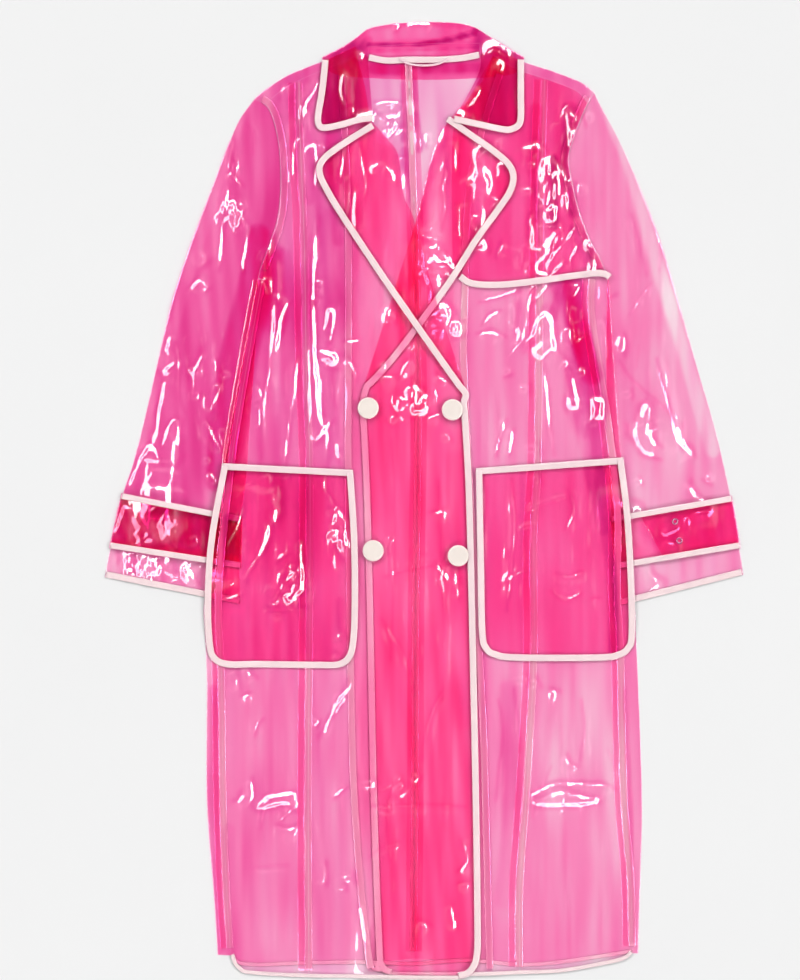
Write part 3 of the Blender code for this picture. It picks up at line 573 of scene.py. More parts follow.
# %% Cut a whole sheet
def cut_sheet(outline):
    """Points of the plan and faces of one sheet. Faces run counterclockwise."""
    cells = crossed_cells(outline)
    numbers, xy, faces = cut_fringe(outline, cells)
    in_x, in_y = window(outline, STEP)
    i, j = np.meshgrid(np.arange(in_x.start, in_x.stop - 1), np.arange(in_y.start, in_y.stop - 1),
                       indexing="ij")
    whole = inside(outline, GRID_X[i] + 0.5 * STEP, GRID_Y[j] + 0.5 * STEP)
    for a, b in cells:
        if in_x.start <= a < in_x.stop - 1 and in_y.start <= b < in_y.stop - 1:
            whole[a - in_x.start, b - in_y.start] = False
    i, j = i[whole], j[whole]
    keys = np.stack([i * ROWS + j, (i + 1) * ROWS + j, (i + 1) * ROWS + j + 1, i * ROWS + j + 1], 1)
    for key in np.unique(keys):
        if int(key) not in numbers:
            numbers[int(key)] = len(xy)
            xy.append((GRID_X[key // ROWS], GRID_Y[key % ROWS]))
    lookup = np.vectorize(numbers.get, otypes=[int])(keys) if len(keys) else keys
    for half in ([0, 1, 2], [0, 2, 3]):
        faces += [tuple(face) for face in lookup[:, half].tolist()]
    return np.array(xy, float), faces


def border_of(faces):
    """Directed edges that only one face has."""
    edges = {(f[k], f[(k + 1) % 3]) for f in faces for k in range(3)}
    return [(a, b) for a, b in edges if (b, a) not in edges]


def along(points, line):
    """For each point, its length along the line, or -1 where it is off the line."""
    place = np.full(len(points), -1.0)
    run = 0.0
    for (x0, y0), (x1, y1) in zip(line, line[1:]):
        length = hypot(x1 - x0, y1 - y0)
        t = ((points[:, 0] - x0) * (x1 - x0) + (points[:, 1] - y0) * (y1 - y0)) / length
        off = np.abs((points[:, 0] - x0) * (y1 - y0) - (points[:, 1] - y0) * (x1 - x0)) / length
        on = (off < NEAR) & (t >= -NEAR) & (t <= length + NEAR)
        place[on & (place < 0)] = run + np.clip(t[on & (place < 0)], 0, length)
        run += length
    return place


# %% [markdown]
# ## Turning numbers into objects
# Every finished piece stands at the origin, in metres, with its place in its
# mesh. The plan's own origin is moved to the middle of the coat here.

# %% Make a mesh object
def show(name, mesh, material, smooth=True):
    """Put a finished mesh in the scene, as an object with one material."""
    mesh.materials.append(material)
    mesh.polygons.foreach_set("use_smooth", [smooth] * len(mesh.polygons))
    mesh.update()
    piece = bpy.data.objects.new(name, mesh)
    bpy.context.scene.collection.objects.link(piece)
    return piece


def make(name, points, faces, material, smooth=True):
    """A mesh object from points in plan millimetres."""
    points = (np.asarray(points, float) - (*PLAN_ORIGIN, 0.0)) * 0.001
    mesh = bpy.data.meshes.new(name)
    mesh.from_pydata(points.tolist(), [], faces)
    return show(name, mesh, material, smooth)


# %% Make a piece of film
FOLD_STEPS = (-0.36, -0.17, 0.0, 0.17, 0.36)   # places round a fold, in turns of pi


def fold_rows(points, low, high, middle):
    """Rows of points round a fold, away from middle, from the lower rim to the upper one."""
    out = normals([points[v][:2] for v in low])
    away = np.array([points[v][:2] for v in low]) - middle
    if (out * away).sum() < 0:
        out = -out
    rows = [low]
    for turn in FOLD_STEPS:
        row = []
        for v, w, n in zip(low, high, out):
            radius = 0.5 * (points[w][2] - points[v][2])
            reach = radius * cos(pi * turn)
            row.append(len(points))
            points.append((points[v][0] + n[0] * reach, points[v][1] + n[1] * reach,
                           0.5 * (points[w][2] + points[v][2]) + radius * sin(pi * turn)))
        rows.append(row)
    return rows + [high]


def film(name, regions, folds=(), material=None):
    """A piece of film. regions: (outline, layer, faces up); folds: (lower region, upper region, line)."""
    points, faces, starts, borders, plans = [], [], [], [], []
    for outline, layer, up in regions:
        xy, cut = cut_sheet(outline)
        start = len(points)
        starts.append(start)
        plans.append(xy)
        borders.append(border_of(cut))
        points += np.column_stack([xy, height(layers[layer], xy[:, 0], xy[:, 1])]).tolist()
        faces += [tuple(start + v for v in (f if up else f[::-1])) for f in cut]
    for lower, upper, line in folds:
        rims = []
        for k in (lower, upper):
            rim = sorted({v for edge in borders[k] for v in edge})
            on_line = sorted((p, v) for p, v in zip(along(plans[k][rim], line), rim) if p >= 0)
            rims.append([starts[k] + v for _, v in on_line])
        if len(rims[0]) != len(rims[1]):
            raise ValueError(f"{name}: fold points differ, {len(rims[0])} and {len(rims[1])}")
        rows = fold_rows(points, *rims, np.mean(plans[lower], axis=0))
        for a, b in zip(rows, rows[1:]):
            faces += [(a[k], a[k + 1], b[k + 1], b[k]) for k in range(len(a) - 1)]
    piece = make(name, points, faces, material)
    # how deep the film is at each point, in plies with painted shade added, and how crumpled, for its
    # material
    for title, fields in (("gather_and_shade", gathered_and_shaded), ("crumple", crumpled)):
        values = np.zeros(len(points))
        for start, xy, (_, layer, _) in zip(starts, plans, regions):
            if layer in fields:
                values[start:start + len(xy)] = height(fields[layer], xy[:, 0], xy[:, 1])
        piece.data.attributes.new(title, "FLOAT", "POINT").data.foreach_set("value", values)
    if folds:
        tidy = bmesh.new()
        tidy.from_mesh(piece.data)
        bmesh.ops.recalc_face_normals(tidy, faces=tidy.faces)
        tidy.to_mesh(piece.data)
        tidy.free()
    return piece


# %% Make a binding or a tape
# Cross-section from the edge inwards: share of the width, share of the thickness.
BOUND_SECTION = ((0.0, 0.25), (0.03, 0.62), (0.10, 0.88), (0.24, 1.0), (0.5, 0.96), (0.76, 0.9),
                 (0.92, 0.8), (0.99, 0.55), (1.0, 0.2), (0.97, 0.0), (0.5, 0.0), (0.03, 0.0))
TAPE_SECTION = ((0.0, 0.0), (0.08, 0.8), (0.35, 1.0), (0.65, 1.0), (0.92, 0.8), (1.0, 0.0))   # open below
CLEAR = 0.05       # gap between a band or a stitch and what it lies on


def band(name, line, left, right, layer, thick, section, material):
    """A band lofted along a line, solid if it is a binding. The section starts on the line's left."""
    line = np.array(line, float)
    side = normals(line)
    rows = []
    for share, rise in section:
        xy = line + side * (left - share * (left + right))
        z = height(layers[layer], xy[:, 0], xy[:, 1]) + CLEAR + rise * thick
        rows.append(np.column_stack([xy, z]))
    count, around = len(line), len(section)
    points = np.stack(rows, 1).reshape(-1, 3)
    solid = section is BOUND_SECTION
    faces = []
    for k in range(0, (count - 1) * around, around):
        for m in range(around if solid else around - 1):
            n = (m + 1) % around
            faces.append((k + m, k + around + m, k + around + n, k + n))
    if solid:
        faces += [tuple(range(around)), tuple(range(count * around - 1, (count - 1) * around - 1, -1))]
    return make(name, points, faces, material)


# %% Turn a profile
def lathe(name, profile, x, y, z, sides, material):
    """A closed ring or disc turned about an upright axis. profile: (radius, height) rows."""
    mesh = bmesh.new()
    turns = [2 * pi * k / sides for k in range(sides)]
    rings = []
    for radius, rise in profile:
        spots = [(x + radius * cos(t), y + radius * sin(t), z + rise) for t in (turns if radius else [0])]
        rings.append([mesh.verts.new(spot) for spot in spots])
    whole = profile[0][0] > 0 and profile[-1][0] > 0
    for low, high in list(zip(rings, rings[1:])) + ([(rings[-1], rings[0])] if whole else []):
        for k in range(sides):
            after = k + 1
            corner = [low[k % len(low)], low[after % len(low)], high[after % len(high)], high[k % len(high)]]
            mesh.faces.new(list(dict.fromkeys(corner)))
    bmesh.ops.recalc_face_normals(mesh, faces=mesh.faces)
    bmesh.ops.translate(mesh, verts=mesh.verts, vec=(-PLAN_ORIGIN[0], -PLAN_ORIGIN[1], 0.0))
    bmesh.ops.scale(mesh, verts=mesh.verts, vec=(0.001, 0.001, 0.001))
    data = bpy.data.meshes.new(name)
    mesh.to_mesh(data)
    mesh.free()
    return show(name, data, material)


# %% [markdown]
# ## Materials
# Clear vinyl is calendered PVC film with a little pink dye, 0.3 mm thick. Light
# goes straight through and loses green and some blue at each pass, so two layers
# look deeper than one and five look crimson. Only its polished surface shines.
# It could be one refracting glass shader, but the film is too thin to bend what
# shows behind it, and the bounces cost minutes. So a Transparent shader tints
# what is below, and a Glossy one adds the streaks, more of it at a slant.

# %% Colours and node helpers
def linear(hex_colour, plies=1.0):
    """Linear RGBA of an sRGB hex colour, taken to the power of the number of plies that it passes."""
    parts = [int(hex_colour[k:k + 2], 16) / 255 for k in (1, 3, 5)]
    parts = [p / 12.92 if p <= 0.04045 else ((p + 0.055) / 1.055) ** 2.4 for p in parts]
    return (*[p ** plies for p in parts], 1.0)


def add(tree, kind, settings=(), inputs=()):
    """Add a node with its settings, its values and the links into it."""
    node = tree.nodes.new(kind)
    for name, value in dict(settings).items():
        setattr(node, name, value)
    for name, value in dict(inputs).items():
        if isinstance(value, bpy.types.NodeSocket):
            tree.links.new(value, node.inputs[name])
        else:
            node.inputs[name].default_value = value
    return node


def calc(tree, operation, *values):
    """The result of a Math node."""
    return add(tree, "ShaderNodeMath", {"operation": operation}, dict(enumerate(values))).outputs[0]


def fade(tree, value, start, end, low, high, soft=False):
    """A number that goes from low to high as value goes from start to end, and stays there beyond."""
    kind = {"interpolation_type": "SMOOTHSTEP"} if soft else {}
    limits = {"Value": value, "From Min": start, "From Max": end, "To Min": low, "To Max": high}
    return add(tree, "ShaderNodeMapRange", kind, limits).outputs["Result"]


def noise(tree, place, size, detail):
    """Noise with patches of about size millimetres."""
    given = {"Vector": place, "Scale": 1000.0 / size, "Detail": detail}
    return add(tree, "ShaderNodeTexNoise", {}, given).outputs["Fac"]


def toned(tree, place, size, detail, dark, light):
    """A colour that changes slowly between two near tones."""
    return add(tree, "ShaderNodeMix", {"data_type": "RGBA"}, {
        "Factor": noise(tree, place, size, detail), "A": linear(dark), "B": linear(light)}).outputs["Result"]


def new_material(name):
    """An empty node material and its output node."""
    material = bpy.data.materials.new(name)
    material.use_nodes = True
    tree = material.node_tree
    tree.nodes.clear()
    return material, tree, tree.nodes.new("ShaderNodeOutputMaterial")


# %% Clear vinyl film
# Dyed soft PVC, rolled to a polish: what is under it shows tinted, and a crease shows as a white streak.
VINYL = "#FFDDEE"             # what white light is after one pass through one ply
MIRRORED = 0.05               # share mirrored by both faces of the film at right angles
GRAZED = 0.8                  # share mirrored at a graze
FILM_ROUGH = 0.045            # polished calendered film
WRINKLE = (7.0, 31.0, 17.0)   # size of one small wrinkle in x, y and z, in millimetres
WRINKLE_DEPTH = 10.5          # their height where they are strongest, before the two shares below
CALM, CRUMPLED = 0.06, 0.7    # share of that height where the film is calm, and where it is crumpled
LEAST_PLIES = 0.15            # where the bunched plies and painted shade add up below zero, a film is thinned down to this
BLUE_KEPT = 0.83              # deep film keeps more blue than as many thin ones would
RED_SHADE_RANGE = (0.2, 2.4)         # painted shade: red fades as bunched plies and painted shade go over this range
RED_LEFT_IN_SHADE = (1.02, 0.11)       # what is left of red in that painted shade, less so much for each ply of the film itself
HAZE = "#FFD3DD"              # the milky tone of a welded tape


def film_material(name, plies, milk=0.0):
    """Clear pink film of so many plies. Two attributes vary it: one holds how many plies the film is
    bunched into beyond its own, with painted shade added in folds and on the shaded side, and crumple,
    how strongly small wrinkles show."""
    material, tree, output = new_material(name)
    place = add(tree, "ShaderNodeTexCoord").outputs["Object"]
    gather_and_shade = add(tree, "ShaderNodeAttribute", {"attribute_name": "gather_and_shade"}).outputs["Fac"]
    crumple = add(tree, "ShaderNodeAttribute", {"attribute_name": "crumple"}).outputs["Fac"]

    # small wrinkles, long in y: squiggles where the film is crumpled, a faint ripple elsewhere
    scale = [1000.0 / size for size in WRINKLE]
    long = add(tree, "ShaderNodeVectorMath", {"operation": "MULTIPLY"}, {0: place, 1: scale}).outputs[0]
    fine = add(tree, "ShaderNodeTexNoise", {}, {"Vector": long, "Scale": 1.0, "Detail": 0.0}).outputs["Fac"]
    wrinkle = calc(tree, "MULTIPLY", fine, fade(tree, crumple, 0.0, 1.0, CALM, CRUMPLED))
    bump = add(tree, "ShaderNodeBump", {}, {
        "Height": wrinkle, "Strength": 1.0, "Distance": 0.001 * WRINKLE_DEPTH}).outputs["Normal"]

    # share of light that is mirrored: least at right angles, most of it at a graze
    facing = add(tree, "ShaderNodeLayerWeight", {}, {"Blend": 0.5, "Normal": bump}).outputs["Facing"]
    steep = calc(tree, "POWER", facing, 5.0)
    share = fade(tree, steep, 0.0, 1.0, MIRRORED, GRAZED)

    # plies that a ray passes: the film's own, what is bunched there, and painted shade
    depth = calc(tree, "MAXIMUM", calc(tree, "ADD", gather_and_shade, plies), LEAST_PLIES)
    red, green, blue, _ = linear(VINYL)
    # painted shade: red fades too where that value is high, darkening folds and the shaded side as shade
    # would
    tint = add(tree, "ShaderNodeCombineColor", {}, {
        "Red": fade(tree, gather_and_shade, *RED_SHADE_RANGE, red, RED_LEFT_IN_SHADE[0] - RED_LEFT_IN_SHADE[1] * plies),
        "Green": calc(tree, "POWER", green, depth),
        "Blue": calc(tree, "POWER", blue, calc(tree, "POWER", depth, BLUE_KEPT))}).outputs["Color"]
    passed = calc(tree, "SUBTRACT", 1.0, steep)
    tint = add(tree, "ShaderNodeVectorMath", {"operation": "SCALE"}, {0: tint, "Scale": passed}).outputs[0]
    clear = add(tree, "ShaderNodeBsdfTransparent", {}, {"Color": tint}).outputs[0]
    if milk:
        haze = add(tree, "ShaderNodeBsdfDiffuse", {}, {"Color": linear(HAZE)}).outputs[0]
        clear = add(tree, "ShaderNodeMixShader", {}, {0: milk, 1: clear, 2: haze}).outputs[0]
    gloss = add(tree, "ShaderNodeBsdfAnisotropic", {}, {
        "Color": share, "Roughness": FILM_ROUGH, "Normal": bump}).outputs[0]
    both = add(tree, "ShaderNodeAddShader", {}, {0: clear, 1: gloss}).outputs[0]
    tree.links.new(both, output.inputs["Surface"])
    return material


clear_film = film_material("clear_pink_vinyl_film", 1)
double_film = film_material("clear_pink_vinyl_two_plies", 2)
allowance_film = film_material("clear_pink_vinyl_allowance", 1)
seam_tape = film_material("welded_seam_tape", 0.3, milk=0.75)

print("one ply of film lets through", [round(share, 2) for share in linear(VINYL)[:3]])

# %% [markdown]
# ## The opaque finishes
# The bindings, buttons, loop and thread are opaque, with almost no shine. Each
# could be one flat colour, but moulded vinyl has a fine embossed grain and
# cotton has fibres, and dye never takes quite evenly. So one function makes them
# all: a slow change between two near tones, and a bump whose grain is given in
# millimetres.

# %% Binding, buttons and eyelets
TONE = 14.0     # size of a patch of tone, in millimetres


def solid_material(name, colour, shade, rough, coat=0.0, grain=1.1, depth=0.3):
    """An opaque finish with a fine grain and a slow change of tone. grain and depth are in millimetres."""
    material, tree, output = new_material(name)
    place = add(tree, "ShaderNodeTexCoord").outputs["Object"]
    raised = {"Height": noise(tree, place, grain, 2.0), "Strength": 0.4, "Distance": 0.001 * depth}
    bump = add(tree, "ShaderNodeBump", {}, raised).outputs["Normal"]
    tone = toned(tree, place, TONE, 3.0, shade, colour)
    shader = add(tree, "ShaderNodeBsdfPrincipled", {}, {
        "Base Color": tone, "Roughness": rough, "Coat Weight": coat, "Normal": bump})
    tree.links.new(shader.outputs[0], output.inputs["Surface"])
    return material


# Pigmented PVC strip, embossed: an even pale pink with a satin edge light.
binding_vinyl = solid_material("pale_binding_vinyl", "#F1DADA", "#E5CACF", 0.5)
# Moulded plastic button covered in the same strip: creamier, with a coarser leather grain.
button_vinyl = solid_material("pale_covered_button", "#F0E5DD", "#E8DBD3", 0.45, grain=2.0)
# Pressed brass ring, sprayed with pink enamel: a smooth small highlight on a deep pink.
eyelet_metal = solid_material("enamelled_eyelet", "#A84A7C", "#86305C", 0.35, coat=0.15, grain=0.4)
# Twisted cotton thread: matt, and a shade darker than the binding that it sinks into.
thread_cotton = solid_material("pale_sewing_thread", "#EAD3D3", "#DFC2C5", 0.6, grain=0.25, depth=0.1)
# Extruded PVC cord of the hanger loop: pinker and a little shinier than the bindings.
loop_vinyl = solid_material("hanger_loop_cord", "#F0D3D8", "#E6BFCB", 0.4)

# %% [markdown]
# ## Laying the coat
# From here the order is the order of the layers, from the floor up: the sleeves
# with their cuff straps, the back, the left front, then the right front, which
# buttons over it, and at last the pockets and the collar. Cloth could be dropped
# on the floor by a simulation, but 21 sheets of stiff film that are sewn together
# would take hours and end elsewhere. Laid by height, each one keeps its outline.

# %% Lay and make
made = {}           # CAD node: piece
trim_on = {}        # film piece: bindings and tapes that lie on it
extra_pieces, stitch_lines = [], []
BOUND = 7.8         # visible width of a binding, inside its solid
STRAP_BOUND = 7.0   # and on a cuff strap
HEM_BOUND = 4.5     # and at the hems of the fronts and the back
BAND_T = 0.9        # thickness of a binding
TAPE_T = 0.3        # thickness of a tape or a seam allowance
LOOP_T = 1.6        # thickness of the hanger loop
SEWN = 0.86         # the stitches run at this share of a binding's width from its edge
SUNK = 0.85         # and at this share of its thickness


def lay_film(layer, rows, extra=()):
    """One layer of film. rows: (node, outline, material)."""
    lay(layer, [outline for _, outline, _ in rows] + list(extra), rise=creases(layer))
    for node, outline, material in rows:
        made[node] = film(f"{node}_sheet", [(outline, layer, True)], material=material)


def lay_bands(layer, rows, section=BOUND_SECTION, thick=BAND_T):
    """One layer of bands. rows: (node, line, reach left, reach right, material, film piece it trims)."""
    lay(layer, [strip(line, left, right) for _, line, left, right, _, _ in rows], thick + 3 * CLEAR, 1)
    for node, line, left, right, material, carrier in rows:
        name = f"{node}_band"
        piece = band(name, line, left, right, layer, thick, section, material)
        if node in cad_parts:
            made[node] = piece
        else:
            extra_pieces.append(piece)
        trim_on.setdefault(carrier, []).append(name)
        if material is binding_vinyl:
            # The line is the binding's outer edge or, where both reaches are equal, its middle.
            inner = SEWN if left < right or (left == right and "_right" in node) else 1.0 - SEWN
            xy = np.array(line) + normals(line) * (left - inner * (left + right))
            z = height(layers[layer], xy[:, 0], xy[:, 1]) + CLEAR + SUNK * thick
            stitch_lines.append(np.column_stack([xy, z]))


print(f"a layer of film is {PITCH} mm above the last, a binding is {BOUND} mm wide")


# %% [markdown]
# ## Creases
# A crease in stiff film is a narrow slope between two calmer areas. What shows
# is the slope that faces a lamp, as one white streak. So each crease is written
# as its bright slope: a line, with the slope's width at each of its points.
# Behind the slope the film sinks back slowly. Crumples are many short creases
# strewn over a patch, and billows are low cushions of air.

# %% Crease the film once
SOFT = 0.55       # a hair crease is so much lower
HAIR = 1.1        # and this is the width that makes it one, in millimetres
STEEP = 0.40      # fall of the bright slope, per unit of width
LEAST = 2.0       # the lowest crest that the height grid still shows as a slope
BLUR = 1.3        # the grid takes about this much off a slope's width
gathered_and_shaded, crumpled = {}, {}   # name of a layer: plies it is bunched into with painted shade, and strength of small wrinkles


def lengths(line):
    """Length along a line up to each of its points."""
    return np.concatenate([[0], np.cumsum(np.hypot(*np.diff(line, axis=0).T))])


def distance(line, px, py):
    """Distance of places on the plan to a line."""
    far = np.full(px.shape, 1e9)
    for (ax, ay), (bx, by) in zip(line, line[1:]):
        dx, dy = bx - ax, by - ay
        t = np.clip(((px - ax) * dx + (py - ay) * dy) / (dx * dx + dy * dy), 0, 1)
        far = np.minimum(far, np.hypot(px - ax - t * dx, py - ay - t * dy))
    return far


def nearest(line, px, py, side):
    """How far places on the plan are to a line's low side, where along it, and how far past its end."""
    chord = line[-1] - line[0]
    toward = side * np.array([chord[1], -chord[0]])
    if chord[1] < 0.5 * chord[0]:
        toward = -toward
    best = np.full(px.shape, 1e9)
    off, place, past = np.zeros(px.shape), np.zeros(px.shape), np.zeros(px.shape)
    for start, (ax, ay), (bx, by) in zip(lengths(line), line, line[1:]):
        dx, dy = bx - ax, by - ay
        length = max(hypot(dx, dy), 1e-6)
        raw = ((px - ax) * dx + (py - ay) * dy) / length ** 2
        t = np.clip(raw, 0, 1)
        far = np.hypot(px - ax - t * dx, py - ay - t * dy)
        nx, ny = dy / length, -dx / length
        if nx * toward[0] + ny * toward[1] < 0:
            nx, ny = -nx, -ny
        nearer = far < best
        best = np.where(nearer, far, best)
        off = np.where(nearer, (px - ax) * nx + (py - ay) * ny, off)
        place = np.where(nearer, start + t * length, place)
        past = np.where(nearer, np.abs(raw - t) * length, past)
    return off, place, past


def add_crease(rise, gather_and_shade, crumple, seed, points, side=1, behind=4.0, dark=0.8, soft=1.0):
    """One slope along a line of (x, y, width). It falls to the wearer's left, or right if side is -1."""
    rough = np.array([p[:2] for p in points], float)
    line = np.array(curve([tuple(p) for p in rough], 3.0))
    marks = lengths(line)
    run = marks[-1]
    widths = np.interp(marks * lengths(rough)[-1] / run, lengths(rough), [p[2] for p in points])
    widths = np.convolve(np.pad(widths, 2, "edge"), (0.1, 0.2, 0.4, 0.2, 0.1), "valid")
    widest = widths.max()
    reach = (behind + 2.0) * widest + 16.0
    (x0, y0), (x1, y1) = line.min(0) - reach, line.max(0) + reach
    at = (slice(*np.searchsorted(GRID_X, (x0, x1))), slice(*np.searchsorted(GRID_Y, (y0, y1))))
    off, place, past = nearest(line, NODE_X[at], NODE_Y[at], side)

    # nothing in a crease is even: its width, its course and its height waver along it
    phase = np.random.default_rng(500 + seed).uniform(0, 2 * pi, 4)
    ragged = 1.0 + 0.14 * np.sin(place / 3.7 + phase[1]) + 0.12 * np.sin(place / 8.3 + phase[3])
    width = np.interp(place, marks, widths) * ragged + BLUR
    off = off + 0.1 * width * (np.sin(place / 11.0 + phase[0]) + 0.6 * np.sin(place / 4.7 + phase[1]))
    swell = 1.0 + 0.06 * np.sin(place / 13.0 + phase[2]) + 0.04 * np.sin(place / 5.5 + phase[3])

    # it rises slowly from either end, falls over its width, and sinks back behind
    ends = np.exp(-(past / (1.0 + 0.8 * width)) ** 2)
    taper = min(max(0.2 * run, 2.2 * widest + 4.0), 0.5 * run)
    tip = np.clip((np.minimum(place, run - place) + 0.5) / taper, 0.0, 1.0)
    crest = (SOFT if widest < HAIR else soft) * np.maximum(STEEP * width, LEAST) * swell
    crest = crest * np.sin(0.5 * pi * tip)
    front = np.clip(0.5 - off / width, 0.0, 1.0)
    back = np.clip(1.0 + (off + 0.5 * width) / np.maximum(behind * width, 6.0 * crest), 0.0, 1.0)
    rise[at] += crest * np.where(off > -0.5 * width, front, back) * ends
    # painted shade, partly the film folded on itself: a darker line just past the foot of the bright slope
    shadow = np.exp(-((off - 0.9 * width) / (0.5 * width + 0.8)) ** 2) * ends
    gather_and_shade[at] = np.maximum(gather_and_shade[at], dark * shadow)
    crumple[at] = np.maximum(crumple[at], 0.05 * np.exp(-(off / (width + 2.0)) ** 2) * ends)


# %% Strew small creases, and vary the depth
def strew(rise, gather_and_shade, crumple, seed, x, y, rx, ry, count, turn, unruly, width, length, strength):
    """A crumple: short creases strewn over an ellipse, most of them within unruly of turn, in degrees."""
    random = np.random.default_rng(seed)
    for k in range(count):
        far, angle = random.uniform(0, 1) ** 0.6, random.uniform(0, 2 * pi)
        cx, cy = x + rx * far * cos(angle), y + ry * far * sin(angle)
        way = (turn + random.normal(0, unruly)) * pi / 180
        half, bow = 0.5 * length * random.uniform(0.6, 1.8), random.uniform(-0.12, 0.12) * length
        dx, dy = cos(way), sin(way)
        size = width * random.uniform(0.6, 1.6)
        points = [(cx - half * dx, cy - half * dy, 0.3 * size), (cx - bow * dy, cy + bow * dx, size),
                  (cx + half * dx, cy + half * dy, 0.3 * size)]
        # each strewn crease brings a fainter line of painted shade at its foot
        add_crease(rise, gather_and_shade, crumple, seed * 50 + k, points, random.choice((1, -1)), 2.0, 0.5)
    far = np.hypot((NODE_X - x) / (rx + 8), (NODE_Y - y) / (ry + 8))
    waves = np.sin(NODE_X / 4.3 + NODE_Y / 9.1 + seed) + np.sin(NODE_X / 6.7 - NODE_Y / 5.3 + 2 * seed)
    ragged = 0.25 * waves * (far < 1)
    crumple[:] = np.maximum(crumple, strength * np.clip(1.3 * (1.0 - far) + ragged, 0.0, 1.0))


# cells of noise across the coat, cells along it, and plies that they add or take
STREAKS = ((46, 9, 0.17), (24, 20, 0.14), (90, 14, 0.12), (170, 16, 0.10))


def streaks(seed):
    """Slow changes of depth: smooth noise, long in y, in four sizes."""
    random = np.random.default_rng(seed)
    total = np.zeros(NODE_X.shape)
    for cells_x, cells_y, share in STREAKS:
        coarse = random.normal(0.0, 1.0, (cells_x + 2, cells_y + 2))
        u = np.linspace(0, cells_x, NODE_X.shape[0])[:, None]
        v = np.linspace(0, cells_y, NODE_X.shape[1])[None, :]
        i, j = np.minimum(u.astype(int), cells_x), np.minimum(v.astype(int), cells_y)
        a, b = u - i, v - j
        a, b = a * a * (3 - 2 * a), b * b * (3 - 2 * b)
        total += share * ((coarse[i, j] * (1 - a) + coarse[i + 1, j] * a) * (1 - b)
                          + (coarse[i, j + 1] * (1 - a) + coarse[i + 1, j + 1] * a) * b)
    return total


# %% All creases of a layer
SEED_ROOM = 60      # seeds kept for each layer
HIGHEST = 14.0      # crossing creases pile up no higher than this
POCKET_SOFT = 0.75  # the pockets' creases are lower, as they are sewn down on three sides


def creases(layer):
    """Height that a layer's own creases add. It also fills in the layer's field of bunched plies and painted
    shade, and its crumpled field.
    """
    rise, gather_and_shade, crumple = (np.zeros(NODE_X.shape) for _ in range(3))
    first = SEED_ROOM * sorted(CREASES).index(layer) if layer in CREASES else 0
    for k, (side, *points) in enumerate(CREASES.get(layer, ())):
        soft = POCKET_SOFT if layer == "pocket" else 1.0
        add_crease(rise, gather_and_shade, crumple, first + k, points, side, soft=soft)
    for k, row in enumerate(CRUMPLES.get(layer, ())):
        strew(rise, gather_and_shade, crumple, 40 + first + k, *row)
    for x, y, rx, ry, lift in BILLOWS.get(layer, ()):
        far = np.hypot((NODE_X - x) / rx, (NODE_Y - y) / ry)
        rise += lift * np.cos(0.5 * pi * np.clip(far, 0, 1)) ** 2
    # painted shade and bunched plies: each row deepens the film's tint along its line
    for k, (amount, half, *points) in enumerate(BUNCHES_AND_SHADE.get(layer, ())):
        far = distance(curve(points, 6.0), NODE_X, NODE_Y)
        ripple = 0.25 * np.sin(NODE_X / 3.1 + NODE_Y / 31.0 + k) + 0.2 * np.sin(NODE_X / 7.7 - NODE_Y / 47.0)
        gather_and_shade += amount * np.clip(1.35 - 1.35 * (far / half) ** 2, 0.0, 1.0) * (1.0 + ripple)
    gather_and_shade += streaks(sum(map(ord, layer)))
    gathered_and_shaded[layer], crumpled[layer] = gather_and_shade, crumple
    return HIGHEST * np.tanh(rise / HIGHEST)
